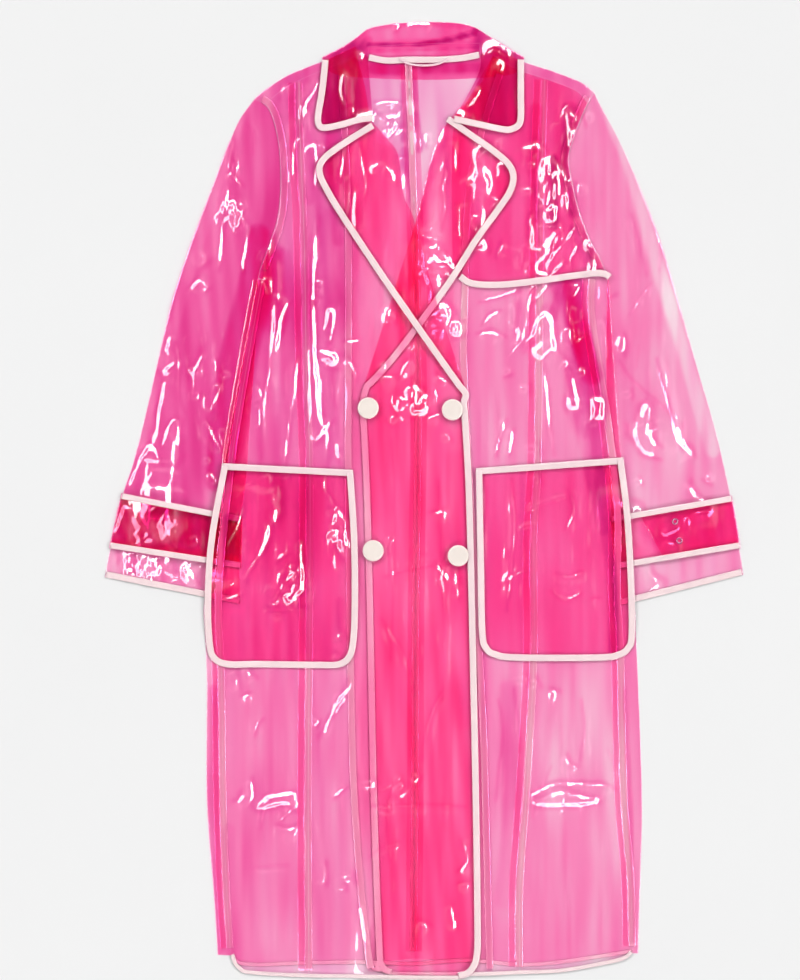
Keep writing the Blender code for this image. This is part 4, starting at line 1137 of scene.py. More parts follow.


# %% [markdown]
# ## Where the film creases
# A coat that has been folded in a drawer keeps each fold as a crease, and worn
# film bends again where it bent before. They could be left to chance, but a real
# one has its own: bunches where the sleeves turn over the sides and under the
# straps, long folds down the princess seams, and star-shaped dents where a
# corner was pushed in. So the main ones are placed one by one, layer by layer, on
# the back and the lower sleeves too, and only the fine ones are strewn.

# %% Creases by layer
# Each row: the side that it falls to, then (x, y, width of the bright slope) along it.
CREASES = {}
CREASES["sleeve_top"] = (
    (1, (-230, 1007, 1.4), (-235, 968, 1.8)), (1, (-234, 968, 1.2), (-218, 950, 1.2)),
    (1, (-235, 956, 2.4), (-248, 851, 1.8)),
    (1, (-215, 908, 3), (-212, 896, 3.6), (-217, 860, 3), (-218, 848, 1.2)),
    (1, (-271, 853, 3.6), (-265, 860, 6), (-259, 865, 3.6)), (-1, (-281, 827, 1.4), (-269, 840, 3)),
    (1, (-264, 826, 1.8), (-259, 830, 1.8)), (-1, (-304, 773, 1.2), (-307, 761, 2.4), (-312, 751, 1.2)),
    (1, (-299, 764, 1.2), (-295, 737, 1.8), (-295, 704, 1.2), (-290, 678, 1.8)),
    (-1, (-313, 731, 4.8), (-308, 724, 4.8)), (-1, (-311, 719, 2.4), (-322, 650, 3), (-325, 642, 3)),
    (-1, (-326, 643, 2.4), (-341, 622, 2.4), (-355, 587, 2.4)), (1, (-325, 638, 1.8), (-316, 616, 1.2)),
    (-1, (-328, 632, 2.4), (-332, 601, 9.6), (-334, 580, 10.8), (-336, 536, 9.6)),
    (1, (-293, 671, 3.6), (-295, 656, 3.6), (-300, 629, 9.6), (-300, 618, 4.8), (-305, 595, 3.6),
     (-307, 581, 6), (-310, 539, 6)),
    (-1, (-295, 671, 1.4), (-302, 670, 1.4), (-307, 661, 1.4), (-313, 638, 1.2)),
    (-1, (-265, 752, 3.6), (-280, 720, 1.2)), (-1, (-281, 734, 1.8), (-280, 725, 1.8)),
    (1, (-245, 715, 1.2), (-247, 703, 1.4), (-253, 692, 1.4), (-256, 680, 1.2)),
    (1, (-270, 704, 2.4), (-271, 695, 1.8)), (1, (-262, 671, 1.4), (-252, 647, 1.8), (-242, 634, 1.4)),
    (-1, (-247, 661, 1.2), (-241, 636, 1.2)), (1, (-258, 626, 1.8), (-257, 618, 1.8)),
    (1, (-250, 743, 1.2), (-248, 730, 1.4)), (-1, (-362, 514, 4.8), (-364, 500, 3)),
    (1, (-355, 494, 2.4), (-349, 491, 4.2), (-344, 485, 3)), (1, (-334, 509, 4.8), (-310, 505, 1.8)),
    (1, (-324, 503, 2.4), (-319, 484, 4.8), (-316, 478, 3.6)),
    (-1, (-295, 499, 3.6), (-292, 491, 5.4), (-284, 474, 2.4)), (1, (-288, 497, 1.8), (-271, 473, 1.2)),
    (1, (-330, 482, 2.4), (-326, 479, 2.4)), (1, (-259, 608, 1.8), (-252, 601, 1.8), (-250, 592, 1.4)),
    (-1, (269, 694, 2.4), (264, 685, 6), (257, 670, 2.4)),
    (1, (269, 691, 3), (269, 661, 3.6), (271, 649, 3.6), (276, 642, 2.4), (283, 637, 1.8)),
    (-1, (248, 666, 3.6), (252, 659, 7.2), (254, 650, 3.6), (266, 632, 3.6), (284, 626, 1.8)),
    (1, (306, 665, 3.6), (305, 653, 3.6), (306, 644, 6), (318, 632, 4.8), (323, 626, 2.4)),
    (1, (317, 596, 3.6), (319, 588, 4.8), (332, 574, 3), (342, 572, 1.8)),
    (1, (247, 707, 2.4), (248, 697, 2.4)), (1, (238, 773, 1.4), (240, 761, 2.4), (238, 750, 2.4)),
    (1, (228, 824, 3.6), (211, 814, 1.2)), (-1, (336, 601, 1.2), (346, 595, 1.4)),
    (1, (251, 569, 4.8), (258, 565, 4.8), (264, 558, 3)),
    (1, (271, 497, 1.8), (272, 487, 3.6), (277, 480, 6), (283, 475, 6), (286, 469, 2.4)),
    (1, (257, 602, 1.4), (260, 593, 1.2)), (-1, (193, 1039, 1.4), (197, 1025, 1.4)),
    (-1, (185, 955, 1.8), (185, 938, 1.8)), (1, (247, 917, 0.7), (265, 845, 0.7)),
    (1, (233, 740, 1), (252, 714, 1), (301, 673, 1)))
CREASES["strap_over"] = (
    (1, (-342, 565, 7.2), (-343, 553, 4.8), (-338, 542, 3.6)), (1, (-334, 559, 2.4), (-318, 569, 3.6)),
    (-1, (-310, 560, 2.4), (-320, 542, 3.6)),
    (1, (-330, 542, 7.2), (-324, 535, 7.2), (-320, 527, 3.6), (-316, 517, 2.4)),
    (1, (-313, 551, 1.2), (-298, 515, 1.2)), (-1, (-358, 570, 1.4), (-373, 530, 1.4)),
    (1, (-274, 533, 2.4), (-271, 520, 2.4)), (1, (310, 551, 3.6), (318, 553, 3)),
    (-1, (283, 541, 1.8), (289, 533, 2.4), (308, 542, 1.8)),
    (1, (288, 527, 2.4), (295, 522, 3), (305, 520, 2.4)), (1, (319, 557, 1.2), (344, 562, 1)))
CREASES["strap_tabs"] = (
    (1, (262, 548, 1.6), (278, 522, 1.6)),)
CREASES["front_right"] = (
    (1, (-124, 1086, 1.8), (-134, 1061, 1.8), (-143, 1049, 1.8), (-156, 995, 2.4), (-158, 960, 1.2)),
    (-1, (-170, 1072, 1.2), (-170, 1056, 1.2)), (1, (-132, 1003, 1.2), (-128, 976, 1.2)),
    (1, (-121, 1002, 1.8), (-120, 991, 1.8)), (-1, (-130, 977, 1.2), (-130, 950, 1.2)),
    (1, (-128, 920, 1.8), (-130, 908, 3.6), (-133, 797, 2.9), (-126, 689, 2.4), (-118, 654, 3.6),
     (-118, 635, 4.8), (-120, 613, 3.6)),
    (1, (-131, 836, 1.4), (-124, 838, 1.4)), (1, (-131, 827, 1.4), (-124, 828, 1.4)),
    (1, (-131, 816, 1.4), (-124, 815, 1.4)),
    (-1, (-178, 860, 1.4), (-179, 817, 1.8), (-180, 798, 4.3), (-181, 779, 2.4), (-187, 719, 2.4),
     (-191, 692, 5.4), (-191, 638, 4.3), (-192, 624, 1.8)),
    (1, (-197, 690, 2.4), (-198, 660, 1.8)), (1, (-202, 714, 2.4), (-194, 696, 3.6)),
    (1, (-160, 815, 1.4), (-170, 797, 2.4), (-179, 751, 1.4)), (1, (-150, 752, 1.2), (-168, 616, 1.6)),
    (-1, (-138, 761, 1.2), (-136, 664, 1.2)), (1, (-128, 755, 1.2), (-101, 746, 3)),
    (-1, (-126, 743, 1.2), (-116, 743, 1.8), (-109, 738, 3.6), (-102, 736, 3)),
    (1, (-92, 744, 2.4), (-84, 730, 2.4), (-82, 718, 1.2)), (1, (-96, 763, 1.2), (-76, 766, 1.2)),
    (1, (-112, 671, 2.4), (-119, 661, 3.6), (-131, 643, 2.4)), (-1, (-100, 622, 1.8), (-106, 642, 1.2)),
    (1, (-46, 784, 1.2), (-40, 806, 1.2)), (1, (-35, 798, 2.4), (-36, 787, 2.4)),
    (1, (-55, 722, 2.4), (-32, 721, 3)), (1, (-46, 740, 1.2), (-49, 727, 1.2)),
    (-1, (-18, 743, 1.2), (-24, 733, 1.4), (-28, 721, 1.2)), (1, (-13, 767, 1.2), (-12, 754, 1.2)),
    (1, (-13, 712, 2.4), (-7, 707, 4.2), (-2, 701, 3)), (-1, (7, 700, 2.4), (2, 695, 3.6), (-11, 688, 2.4)),
    (1, (-16, 678, 3.6), (-2, 685, 2.4)), (1, (1, 672, 1.8), (22, 679, 1.8)),
    (1, (14, 724, 1.8), (28, 714, 1.8)), (1, (29, 655, 2.4), (31, 644, 2.4)),
    (-1, (-36, 690, 1.8), (-31, 679, 1.8)), (-1, (-43, 673, 1.2), (-37, 665, 1.2)),
    (1, (42, 743, 2.4), (43, 730, 1.8)), (1, (8, 557, 2.4), (26, 562, 1.8)),
    (1, (12, 500, 1.2), (24, 484, 1.8), (30, 481, 1.2)),
    (1, (38, 492, 1.8), (37, 479, 4.8), (41, 457, 1.2)), (1, (-230, 370, 6), (-222, 346, 3)),
    (1, (-212, 374, 2.4), (-210, 366, 3.6), (-203, 359, 3)), (1, (-218, 338, 1.8), (-208, 341, 1.8)),
    (-1, (-88, 359, 3.6), (-90, 349, 3.6), (-109, 320, 1.8), (-122, 290, 3)),
    (1, (-94, 340, 1.2), (-110, 316, 1.2)), (1, (-196, 313, 2.4), (-200, 307, 1.8), (-204, 294, 1.8)),
    (1, (-127, 311, 1.8), (-130, 304, 1.8)), (-1, (-227, 211, 3.6), (-220, 215, 3.6), (-216, 222, 3.6)),
    (1, (-209, 240, 2.4), (-206, 221, 2.4), (-211, 211, 1.8)), (1, (-191, 218, 1.4), (-154, 224, 1.4)),
    (-1, (-203, 211, 1.2), (-198, 205, 2.4), (-170, 211, 2.6), (-152, 205, 2.4)),
    (1, (-178, 184, 1.2), (-168, 180, 2.9), (-158, 180, 2.6), (-151, 184, 1.2)),
    (1, (-109, 218, 1.8), (-94, 232, 1.8)), (1, (-62, 239, 3.6), (-61, 228, 3)),
    (1, (-28, 236, 2.4), (-24, 229, 1.8)), (-1, (-31, 223, 3.6), (-26, 218, 3)),
    (1, (-5, 244, 1.8), (-11, 235, 3)), (1, (-120, 140, 2.4), (-119, 113, 1.8)),
    (1, (-88, 126, 4.2), (-86, 116, 3.6)), (1, (-97, 115, 2.4), (-96, 107, 2.4)),
    (1, (-8, 68, 3.6), (7, 62, 1.8)), (-1, (-77, 89, 1.2), (-68, 41, 1.4)),
    (1, (-41, 647, 1), (-37, 551, 1), (-42, 383, 1)), (-1, (19, 599, 1), (26, 407, 1), (24, 335, 1)),
    (-1, (46, 167, 1.4), (53, 143, 1.7), (43, 128, 1.8)), (1, (41, 113, 1.4), (55, 114, 1.9)),
    (1, (32, 89, 1.2), (37, 59, 1.4)), (-1, (-35, 239, 1), (-43, 191, 1), (-38, 143, 1)),
    (1, (-62, 205, 1), (-5, 208, 1), (49, 205, 1)), (-1, (-47, 485, 1), (-5, 496, 1), (31, 500, 1)),
    (1, (-53, 431, 1), (-29, 395, 1), (-14, 347, 1)), (-1, (25, 347, 1), (7, 311, 1), (0, 263, 1)))
CREASES["back"] = (
    (1, (-60, 1039, 2.4), (-40, 1025, 3), (-28, 1045, 3.6)), (-1, (-36, 1010, 3.6), (-25, 1022, 2.4)),
    (1, (-29, 978, 3.6), (-25, 961, 5.4), (-23, 930, 1.8)), (1, (-31, 985, 1.8), (-24, 985, 1.4)),
    (1, (-10, 1021, 2.4), (-11, 1009, 3), (-7, 998, 2.4)), (-1, (0, 1014, 1.8), (5, 1000, 1.8)),
    (1, (-14, 1050, 2.4), (-12, 1038, 2.4)), (1, (-59, 1051, 1.2), (-41, 1052, 1.4), (-26, 1050, 1.2)))
CREASES["lapel_right"] = (
    (1, (-95, 1002, 3), (-101, 952, 2.4)), (1, (-79, 1004, 1.8), (-71, 956, 3), (-73, 936, 1.8)),
    (-1, (-79, 948, 3.6), (-84, 929, 4.8), (-84, 892, 3.6)), (1, (-90, 964, 1.4), (-92, 914, 1.2)),
    (-1, (-66, 973, 2.4), (-61, 965, 3.6)), (1, (-47, 976, 1.4), (-37, 964, 1.8), (-34, 954, 1.2)))
CREASES["lapel_left"] = (
    (1, (28, 1033, 4.8), (5, 977, 4.8), (-4, 941, 4.2), (-7, 912, 2.4)),
    (1, (38, 1006, 3.6), (38, 966, 2.4)), (-1, (61, 995, 3.6), (61, 928, 2.4)),
    (1, (71, 1003, 4.8), (77, 994, 6)), (1, (70, 979, 3.6), (79, 959, 8.4), (78, 947, 7.2), (74, 938, 3.6)),
    (-1, (85, 978, 6), (89, 967, 4.8), (86, 959, 2.4)),
    (1, (70, 931, 2.4), (71, 917, 2.4), (68, 905, 2.4), (72, 898, 3.6)),
    (1, (58, 916, 2.4), (66, 914, 2.4)), (-1, (60, 906, 3.6), (64, 894, 4.8)),
    (1, (24, 980, 1.8), (26, 965, 2.4), (23, 949, 2.4), (25, 935, 1.8), (20, 900, 1.2)),
    (-1, (42, 930, 2.4), (44, 917, 3), (43, 901, 2.2), (47, 886, 1.8)),
    (-1, (-7, 896, 2.4), (11, 888, 3.6), (20, 887, 3.6), (25, 883, 2.4)),
    (1, (5, 884, 3.6), (14, 865, 2.4), (20, 859, 2.4), (34, 860, 2.4)),
    (1, (20, 875, 2.4), (35, 853, 4.8), (34, 846, 4.8), (38, 840, 3.6)),
    (-1, (-5, 860, 2.4), (14, 814, 2.4)), (1, (79, 938, 1.8), (88, 934, 2.4), (90, 928, 1.8)))
CREASES["gun_flap"] = (
    (1, (70, 889, 3.6), (74, 880, 4.8), (74, 871, 2.4)),
    (-1, (95, 883, 2.4), (92, 875, 3.6), (90, 866, 2.4)),
    (1, (131, 1004, 3.6), (139, 997, 4.8), (145, 991, 3.6)), (1, (128, 1001, 1.8), (130, 988, 2.4)),
    (1, (148, 983, 3), (152, 947, 3), (145, 925, 3.6), (143, 928, 3.6)),
    (1, (140, 931, 2.4), (148, 920, 3), (151, 907, 3.6)),
    (1, (157, 911, 3.6), (161, 904, 4.8), (158, 896, 6), (146, 881, 7.2), (149, 871, 3.6), (137, 860, 4.8),
     (134, 853, 3.6), (137, 848, 2.4), (145, 846, 2.4), (154, 848, 2.4), (172, 866, 3.6)),
    (1, (155, 983, 1.8), (161, 968, 1.8), (163, 934, 1.2)),
    (-1, (178, 918, 2.4), (180, 905, 2.4), (175, 893, 2.4), (149, 860, 2.4), (143, 850, 1.8)),
    (-1, (130, 918, 1.8), (127, 908, 2.4), (131, 899, 3), (130, 887, 3.6), (134, 874, 3.6)),
    (1, (127, 860, 2.4), (126, 844, 1.8)), (1, (131, 980, 3.6), (132, 974, 2.4)),
    (1, (127, 950, 3.6), (128, 941, 3.6)), (1, (119, 876, 2.4), (115, 850, 1.2)),
    (1, (184, 1036, 2.4), (179, 1026, 2.4)), (-1, (175, 1019, 1.4), (172, 994, 1.2)),
    (1, (169, 942, 1.4), (172, 931, 1.4)), (1, (197, 889, 2.4), (200, 874, 1.8)),
    (1, (185, 882, 1.4), (176, 865, 1.7), (175, 852, 1.8)),
    (1, (191, 961, 1.4), (175, 959, 1.4), (170, 952, 1.4)), (1, (72, 1004, 3.6), (79, 995, 4.8)),
    (-1, (84, 1007, 3), (89, 992, 3.6)))
CREASES["front_left"] = (
    (1, (5, 833, 2.4), (12, 797, 4.8), (19, 790, 3.6), (26, 793, 3.6)),
    (1, (20, 811, 4.8), (31, 798, 6), (29, 790, 3.6)), (1, (34, 787, 2.4), (47, 786, 2.4)),
    (-1, (31, 775, 1.8), (43, 773, 3.6), (48, 776, 2.4)),
    (1, (139, 835, 1.8), (127, 817, 1.8), (118, 769, 6), (110, 770, 4.8)),
    (1, (149, 834, 1.4), (131, 814, 1.4)), (1, (109, 811, 3.6), (108, 778, 1.8)),
    (-1, (71, 784, 1.2), (76, 792, 1.8), (83, 798, 1.8), (92, 800, 1.2)),
    (1, (64, 772, 1.2), (74, 775, 2.4), (84, 775, 3.6), (96, 769, 1.2)),
    (-1, (148, 802, 4.8), (137, 791, 3), (133, 779, 2.4), (127, 769, 2.4), (120, 763, 2.4)),
    (1, (148, 802, 4.8), (157, 757, 3), (163, 748, 2.4)),
    (-1, (145, 774, 4.8), (139, 762, 6), (132, 757, 6), (125, 751, 3.6)),
    (1, (157, 757, 1.8), (150, 755, 1.8), (139, 742, 1.2)), (1, (137, 786, 1.8), (139, 772, 1.8)),
    (1, (167, 742, 3.6), (173, 738, 3.6)), (1, (172, 733, 1.4), (176, 725, 2.4), (187, 680, 1.8)),
    (1, (190, 734, 2.4), (194, 724, 2.4)), (1, (124, 713, 2.4), (124, 703, 2.4)),
    (1, (143, 737, 1.8), (154, 628, 1.2)), (-1, (173, 698, 3.6), (174, 689, 4.8), (175, 682, 2.4)),
    (1, (133, 642, 3.6), (134, 631, 3.6)), (1, (103, 728, 3.6), (96, 724, 1.2)),
    (1, (214, 792, 2.4), (220, 739, 1.2)), (1, (215, 696, 2.4), (212, 670, 1.8)),
    (-1, (67, 815, 1.4), (91, 820, 1.4), (115, 828, 1.4)), (1, (97, 671, 1.2), (85, 629, 1.2)),
    (1, (106, 659, 1.2), (101, 629, 1.2)), (1, (121, 364, 3), (122, 353, 2.4)),
    (1, (132, 361, 2.4), (136, 350, 3.6)), (1, (151, 346, 2.4), (161, 342, 2.4)),
    (1, (130, 218, 1.2), (142, 227, 1.9), (163, 234, 2.6), (211, 232, 2.6), (229, 226, 1.2)),
    (1, (130, 214, 1.8), (166, 223, 7.2), (176, 220, 4.2), (210, 216, 1.4)),
    (-1, (130, 212, 3.6), (158, 209, 2.4), (194, 211, 2.4), (210, 215, 1.8)),
    (1, (127, 221, 1.8), (134, 222, 1.8)), (1, (170, 269, 1.8), (175, 257, 2.4), (184, 253, 1.4)),
    (-1, (91, 335, 1), (97, 299, 1), (88, 215, 1)), (1, (106, 347, 1), (114, 275, 1)),
    (-1, (191, 335, 1), (194, 299, 1), (190, 263, 1)))
CREASES["pocket"] = (
    (1, (-172, 601, 1.2), (-178, 575, 8.4), (-176, 563, 7.2), (-185, 541, 3.6), (-190, 527, 4.8),
     (-194, 517, 3), (-210, 491, 2.4), (-215, 478, 2.4)),
    (1, (-187, 608, 2.4), (-184, 601, 3), (-184, 593, 2.4)), (1, (-163, 607, 1.8), (-163, 600, 1.8)),
    (1, (-119, 605, 1.2), (-119, 590, 1.4), (-110, 571, 3), (-96, 551, 4.8)),
    (1, (-116, 564, 1.2), (-108, 560, 1.2)),
    (1, (-110, 550, 1.4), (-106, 542, 1.4), (-101, 538, 3.6), (-94, 539, 3.6)),
    (-1, (-109, 535, 2.4), (-112, 528, 3.6)),
    (-1, (-95, 526, 3), (-100, 520, 3.6), (-98, 511, 3.6), (-94, 505, 3.6)),
    (1, (-146, 527, 1.2), (-149, 515, 1.8), (-145, 478, 3)),
    (1, (-163, 499, 1.2), (-172, 487, 3.6), (-180, 466, 7.2)),
    (1, (-179, 499, 2.4), (-172, 508, 2.4), (-162, 512, 1.2)),
    (1, (-163, 482, 1.2), (-157, 487, 2.4), (-151, 484, 1.8)),
    (-1, (-162, 464, 3.6), (-154, 462, 3), (-140, 469, 1.8)), (1, (-158, 445, 3), (-143, 442, 3.6)),
    (-1, (-188, 450, 2.4), (-176, 450, 1.8)), (1, (-184, 439, 1.2), (-168, 437, 1.8)),
    (1, (-97, 415, 3.6), (-95, 409, 2.4)), (1, (-108, 389, 3.6), (-104, 388, 2.4)),
    (-1, (-242, 456, 1.2), (-220, 462, 1.2)), (1, (136, 606, 1.8), (139, 594, 1.8)),
    (1, (203, 454, 2.4), (211, 455, 1.4)), (1, (157, 485, 1.2), (175, 482, 1.4), (191, 488, 1.2)),
    (-1, (154, 467, 1.2), (170, 457, 1.4), (187, 464, 1.2)),
    (1, (103, 599, 1.2), (108, 551, 1.6), (104, 491, 1.4), (97, 443, 1.2)),
    (-1, (175, 587, 1.4), (181, 563, 1.8), (170, 539, 1.4)))
CREASES["collar"] = (
    (1, (-86, 1048, 1.4), (-85, 1034, 1.4)), (-1, (-96, 1088, 1.2), (-100, 1067, 1.6), (-94, 1045, 1.6)),
    (1, (68, 1069, 1.4), (62, 1057, 1.4), (50, 1044, 1.4)), (1, (47, 1040, 1.2), (46, 1033, 1.2)),
    (1, (-35, 1139, 1.2), (-30, 1144, 1.4)), (1, (-23, 1144, 1.2), (-7, 1146, 1.7), (10, 1145, 1.2)),
    (1, (89, 1103, 1.4), (95, 1096, 1.7), (91, 1086, 1.2)), (1, (-77, 1103, 1.4), (-73, 1108, 1.4)),
    (-1, (73, 1109, 1.2), (85, 1115, 1.4), (101, 1105, 1.4)))
CREASES["sleeve_under"] = (
    (1, (-281, 935, 1.4), (-307, 791, 1.4)), (1, (277, 743, 1.4), (307, 635, 1.4)))

# %% Crumples, bunches with painted shade, and billows by layer
# Each row: x, y, reach in x and y, creases, main direction and its spread, width, length, small wrinkles.
CRUMPLES = {}
CRUMPLES["sleeve_top"] = (
    (-230, 918, 13, 14, 12, 60, 40, 1.6, 8, 0.6), (-338, 496, 48, 17, 10, -50, 40, 1.8, 12, 0.4),
    (-194, 860, 17, 36, 3, 75, 25, 1.2, 14, 0.1), (259, 815, 29, 108, 3, 80, 20, 0.7, 36, 0.12),
    (-221, 971, 24, 72, 3, 80, 20, 0.7, 36, 0.12), (-263, 713, 26, 72, 4, 75, 25, 1.2, 14, 0.2))
CRUMPLES["front_right"] = (
    (-192, 851, 14, 43, 5, 80, 20, 1.2, 14, 0.1), (-149, 959, 36, 108, 4, 88, 8, 1, 29, 0.1),
    (-107, 779, 14, 132, 4, 90, 5, 1, 29, 0.1), (-11, 695, 19, 19, 5, 30, 50, 1.8, 11, 0.4),
    (-5, 455, 60, 84, 3, 20, 50, 0.7, 26, 0.16), (-11, 179, 60, 84, 3, 60, 50, 0.7, 26, 0.14),
    (-167, 215, 66, 108, 3, 70, 40, 0.7, 26, 0.12))
CRUMPLES["lapel_left"] = (
    (19, 860, 24, 34, 5, 50, 35, 1.3, 14, 0.3),)
CRUMPLES["front_left"] = (
    (26, 785, 17, 19, 4, 50, 40, 1.6, 12, 0.4), (182, 791, 14, 48, 5, 75, 25, 1.2, 14, 0.2),
    (199, 671, 12, 48, 3, 80, 10, 1.2, 24, 0.2), (163, 239, 72, 108, 3, 70, 40, 0.7, 26, 0.12))
CRUMPLES["gun_flap"] = (
    (158, 947, 14, 72, 5, 80, 15, 1.2, 22, 0.3), (178, 1007, 10, 36, 5, 70, 30, 1.2, 11, 0.3),
    (199, 865, 17, 22, 3, 60, 30, 1.3, 12, 0.3))
CRUMPLES["pocket"] = (
    (-154, 473, 17, 22, 5, 30, 40, 1.8, 12, 0.4), (-103, 527, 10, 31, 5, 40, 45, 1.7, 11, 0.4),
    (-191, 521, 41, 72, 3, 60, 30, 0.7, 31, 0.2), (163, 503, 60, 72, 3, 40, 40, 0.7, 31, 0.15))
CRUMPLES["back"] = (
    (-38, 1025, 17, 17, 6, 20, 40, 1.8, 12, 0.5),)
CRUMPLES["strap_over"] = (
    (-329, 541, 24, 17, 2, 50, 40, 1.4, 11, 0.12),)
# Where the film looks deeper: plies that it is bunched into in folds, and painted shade on the shaded right
# half, under the back neck, in the armpits and on the collar and straps: plies more, half width, then (x, y)
# along it.
BUNCHES_AND_SHADE = {}
BUNCHES_AND_SHADE["front_right"] = (
    (1.35, 86.4, (-149, 1073), (-149, 839)), (1.0, 86.4, (-158, 779), (-163, 551)),
    (0.38, 96, (-173, 335), (-173, -1)), (1.4, 24, (-187, 865), (-182, 797)),
    (3.0, 18, (-194, 889), (-197, 827), (-216, 743), (-230, 647), (-242, 611)),
    (1.2, 10.8, (-169, 869), (-168, 827), (-174, 779)), (0.9, 8.4, (-145, 1019), (-139, 983), (-138, 935)),
    (0.9, 9.6, (-113, 1061), (-107, 959), (-103, 887)), (0.5, 10.8, (-113, 917), (-115, 863), (-107, 815)),
    (0.7, 14.4, (-161, 1085), (-149, 1043)), (0.9, 7.2, (-252, 347), (-252, 215), (-248, 95), (-246, 35)),
    (0.4, 9.6, (-234, 179), (-234, 35)), (0.4, 14.4, (37, 623), (43, 455), (49, 311)))
BUNCHES_AND_SHADE["sleeve_top"] = (
    (1.0, 74.4, (-215, 1043), (-263, 779), (-311, 599)), (-0.45, 72, (295, 719), (319, 467)),
    (2.4, 15.6, (-199, 893), (-211, 827), (-230, 755), (-242, 671), (-250, 599)),
    (0.9, 10.8, (-187, 1043), (-182, 995), (-182, 935), (-194, 887)),
    (-1.9, 26.4, (-365, 551), (-211, 530)), (-0.9, 26.4, (277, 535), (367, 547)),
    (-0.5, 10.8, (214, 1057), (247, 977), (278, 863), (312, 755), (346, 635)),
    (-0.5, 8.4, (-215, 1049), (-251, 947), (-287, 827), (-317, 731), (-353, 599)))
BUNCHES_AND_SHADE["sleeve_under"] = (
    (0.45, 74.4, (-215, 1043), (-263, 779), (-311, 599)), (-1.3, 26.4, (-365, 551), (-211, 530)),
    (-0.8, 26.4, (277, 535), (367, 547)),
    (-0.4, 10.8, (214, 1057), (247, 977), (278, 863), (312, 755), (346, 635)))
BUNCHES_AND_SHADE["front_left"] = (
    (3.2, 14.4, (178, 835), (182, 791), (202, 725)), (1.4, 15.6, (166, 829), (192, 761), (209, 683)),
    (1.2, 7.2, (166, 833), (154, 793)), (1.1, 12, (185, 767), (199, 695), (209, 623)),
    (0.8, 6, (173, 731), (185, 671), (194, 620)), (-0.6, 36, (34, 995), (37, 893)),
    (0.9, 48, (157, 1067), (157, 995)), (0.6, 26.4, (190, 815), (197, 671)),
    (0.7, 4.8, (67, 575), (72, 335), (78, 95), (79, 11)), (0.5, 14.4, (101, 347), (106, 215), (97, 95)),
    (0.8, 3.6, (241, 347), (247, 215), (251, 47)))
BUNCHES_AND_SHADE["pocket"] = (
    (2.0, 8.4, (211, 611), (214, 575), (220, 527), (226, 467), (228, 395)),
    (1.2, 8.4, (197, 611), (206, 575), (214, 539)), (0.6, 8.4, (121, 611), (119, 503), (120, 395)),
    (0.45, 76.8, (-167, 575), (-167, 419)), (-0.25, 76.8, (157, 599), (157, 395)),
    (1.0, 16.8, (-230, 605), (-226, 563)), (2.4, 9.6, (-233, 551), (-233, 508)),
    (0.9, 4.8, (-238, 503), (-235, 461)), (0.5, 7.2, (-145, 611), (-146, 503), (-145, 395)),
    (0.9, 4.8, (-101, 455), (-101, 407)))
BUNCHES_AND_SHADE["gun_flap"] = (
    (-0.45, 84, (145, 1067), (145, 863)), (2.2, 8.4, (154, 983), (155, 905)),
    (1.8, 12, (175, 1043), (173, 983), (180, 923)), (1.2, 9.6, (134, 1043), (132, 959), (130, 887)),
    (1.4, 12, (185, 899), (202, 851)))
BUNCHES_AND_SHADE["back"] = (
    (0.5, 72, (-11, 1079), (-11, 995)), (1.8, 8.4, (-60, 1093), (-29, 1091)),
    (1.4, 7.2, (1, 1093), (67, 1094)), (1.0, 14.4, (-60, 1096), (67, 1096)),
    (1.2, 3.6, (-26, 1073), (-25, 1007)), (1.6, 4.8, (-12, 1079), (-10, 1043), (-5, 995)),
    (1.3, 4.8, (-24, 995), (-17, 953), (-12, 917)))
BUNCHES_AND_SHADE["collar"] = (
    (2.2, 3, (-66, 1121), (-29, 1121), (19, 1124), (62, 1134)),
    (1.8, 3.6, (-5, 1122), (31, 1129), (64, 1139)), (1.2, 2.4, (-62, 1114), (-5, 1115), (65, 1118)),
    (1.2, 6, (-89, 1100), (-67, 1127)), (-0.9, 9.6, (-62, 1132), (-5, 1136), (55, 1132)),
    (-0.9, 6, (-60, 1112), (65, 1115)), (2.1, 36, (-95, 1103), (-95, 1043)),
    (2.6, 40.8, (91, 1115), (89, 1043)))
BUNCHES_AND_SHADE["lapel_right"] = (
    (0.8, 16.8, (-107, 977), (-89, 917)), (-0.7, 72, (-59, 995), (-47, 875), (19, 743)))
BUNCHES_AND_SHADE["facing_right"] = (
    (-0.6, 108, (-29, 935), (-5, 575), (-5, 47)),)
BUNCHES_AND_SHADE["facing_left"] = (
    (-0.6, 108, (19, 935), (-5, 575), (-5, 47)),)
BUNCHES_AND_SHADE["lapel_left"] = (
    (0.9, 24, (37, 995), (43, 887)), (-1.3, 72, (55, 995), (31, 875), (-29, 755)),
    (-1.0, 21.6, (74, 1001), (77, 929)))
BUNCHES_AND_SHADE["strap_over"] = (
    (3.4, 31.2, (-365, 551), (-215, 532)), (1.6, 31.2, (289, 539), (361, 545)))
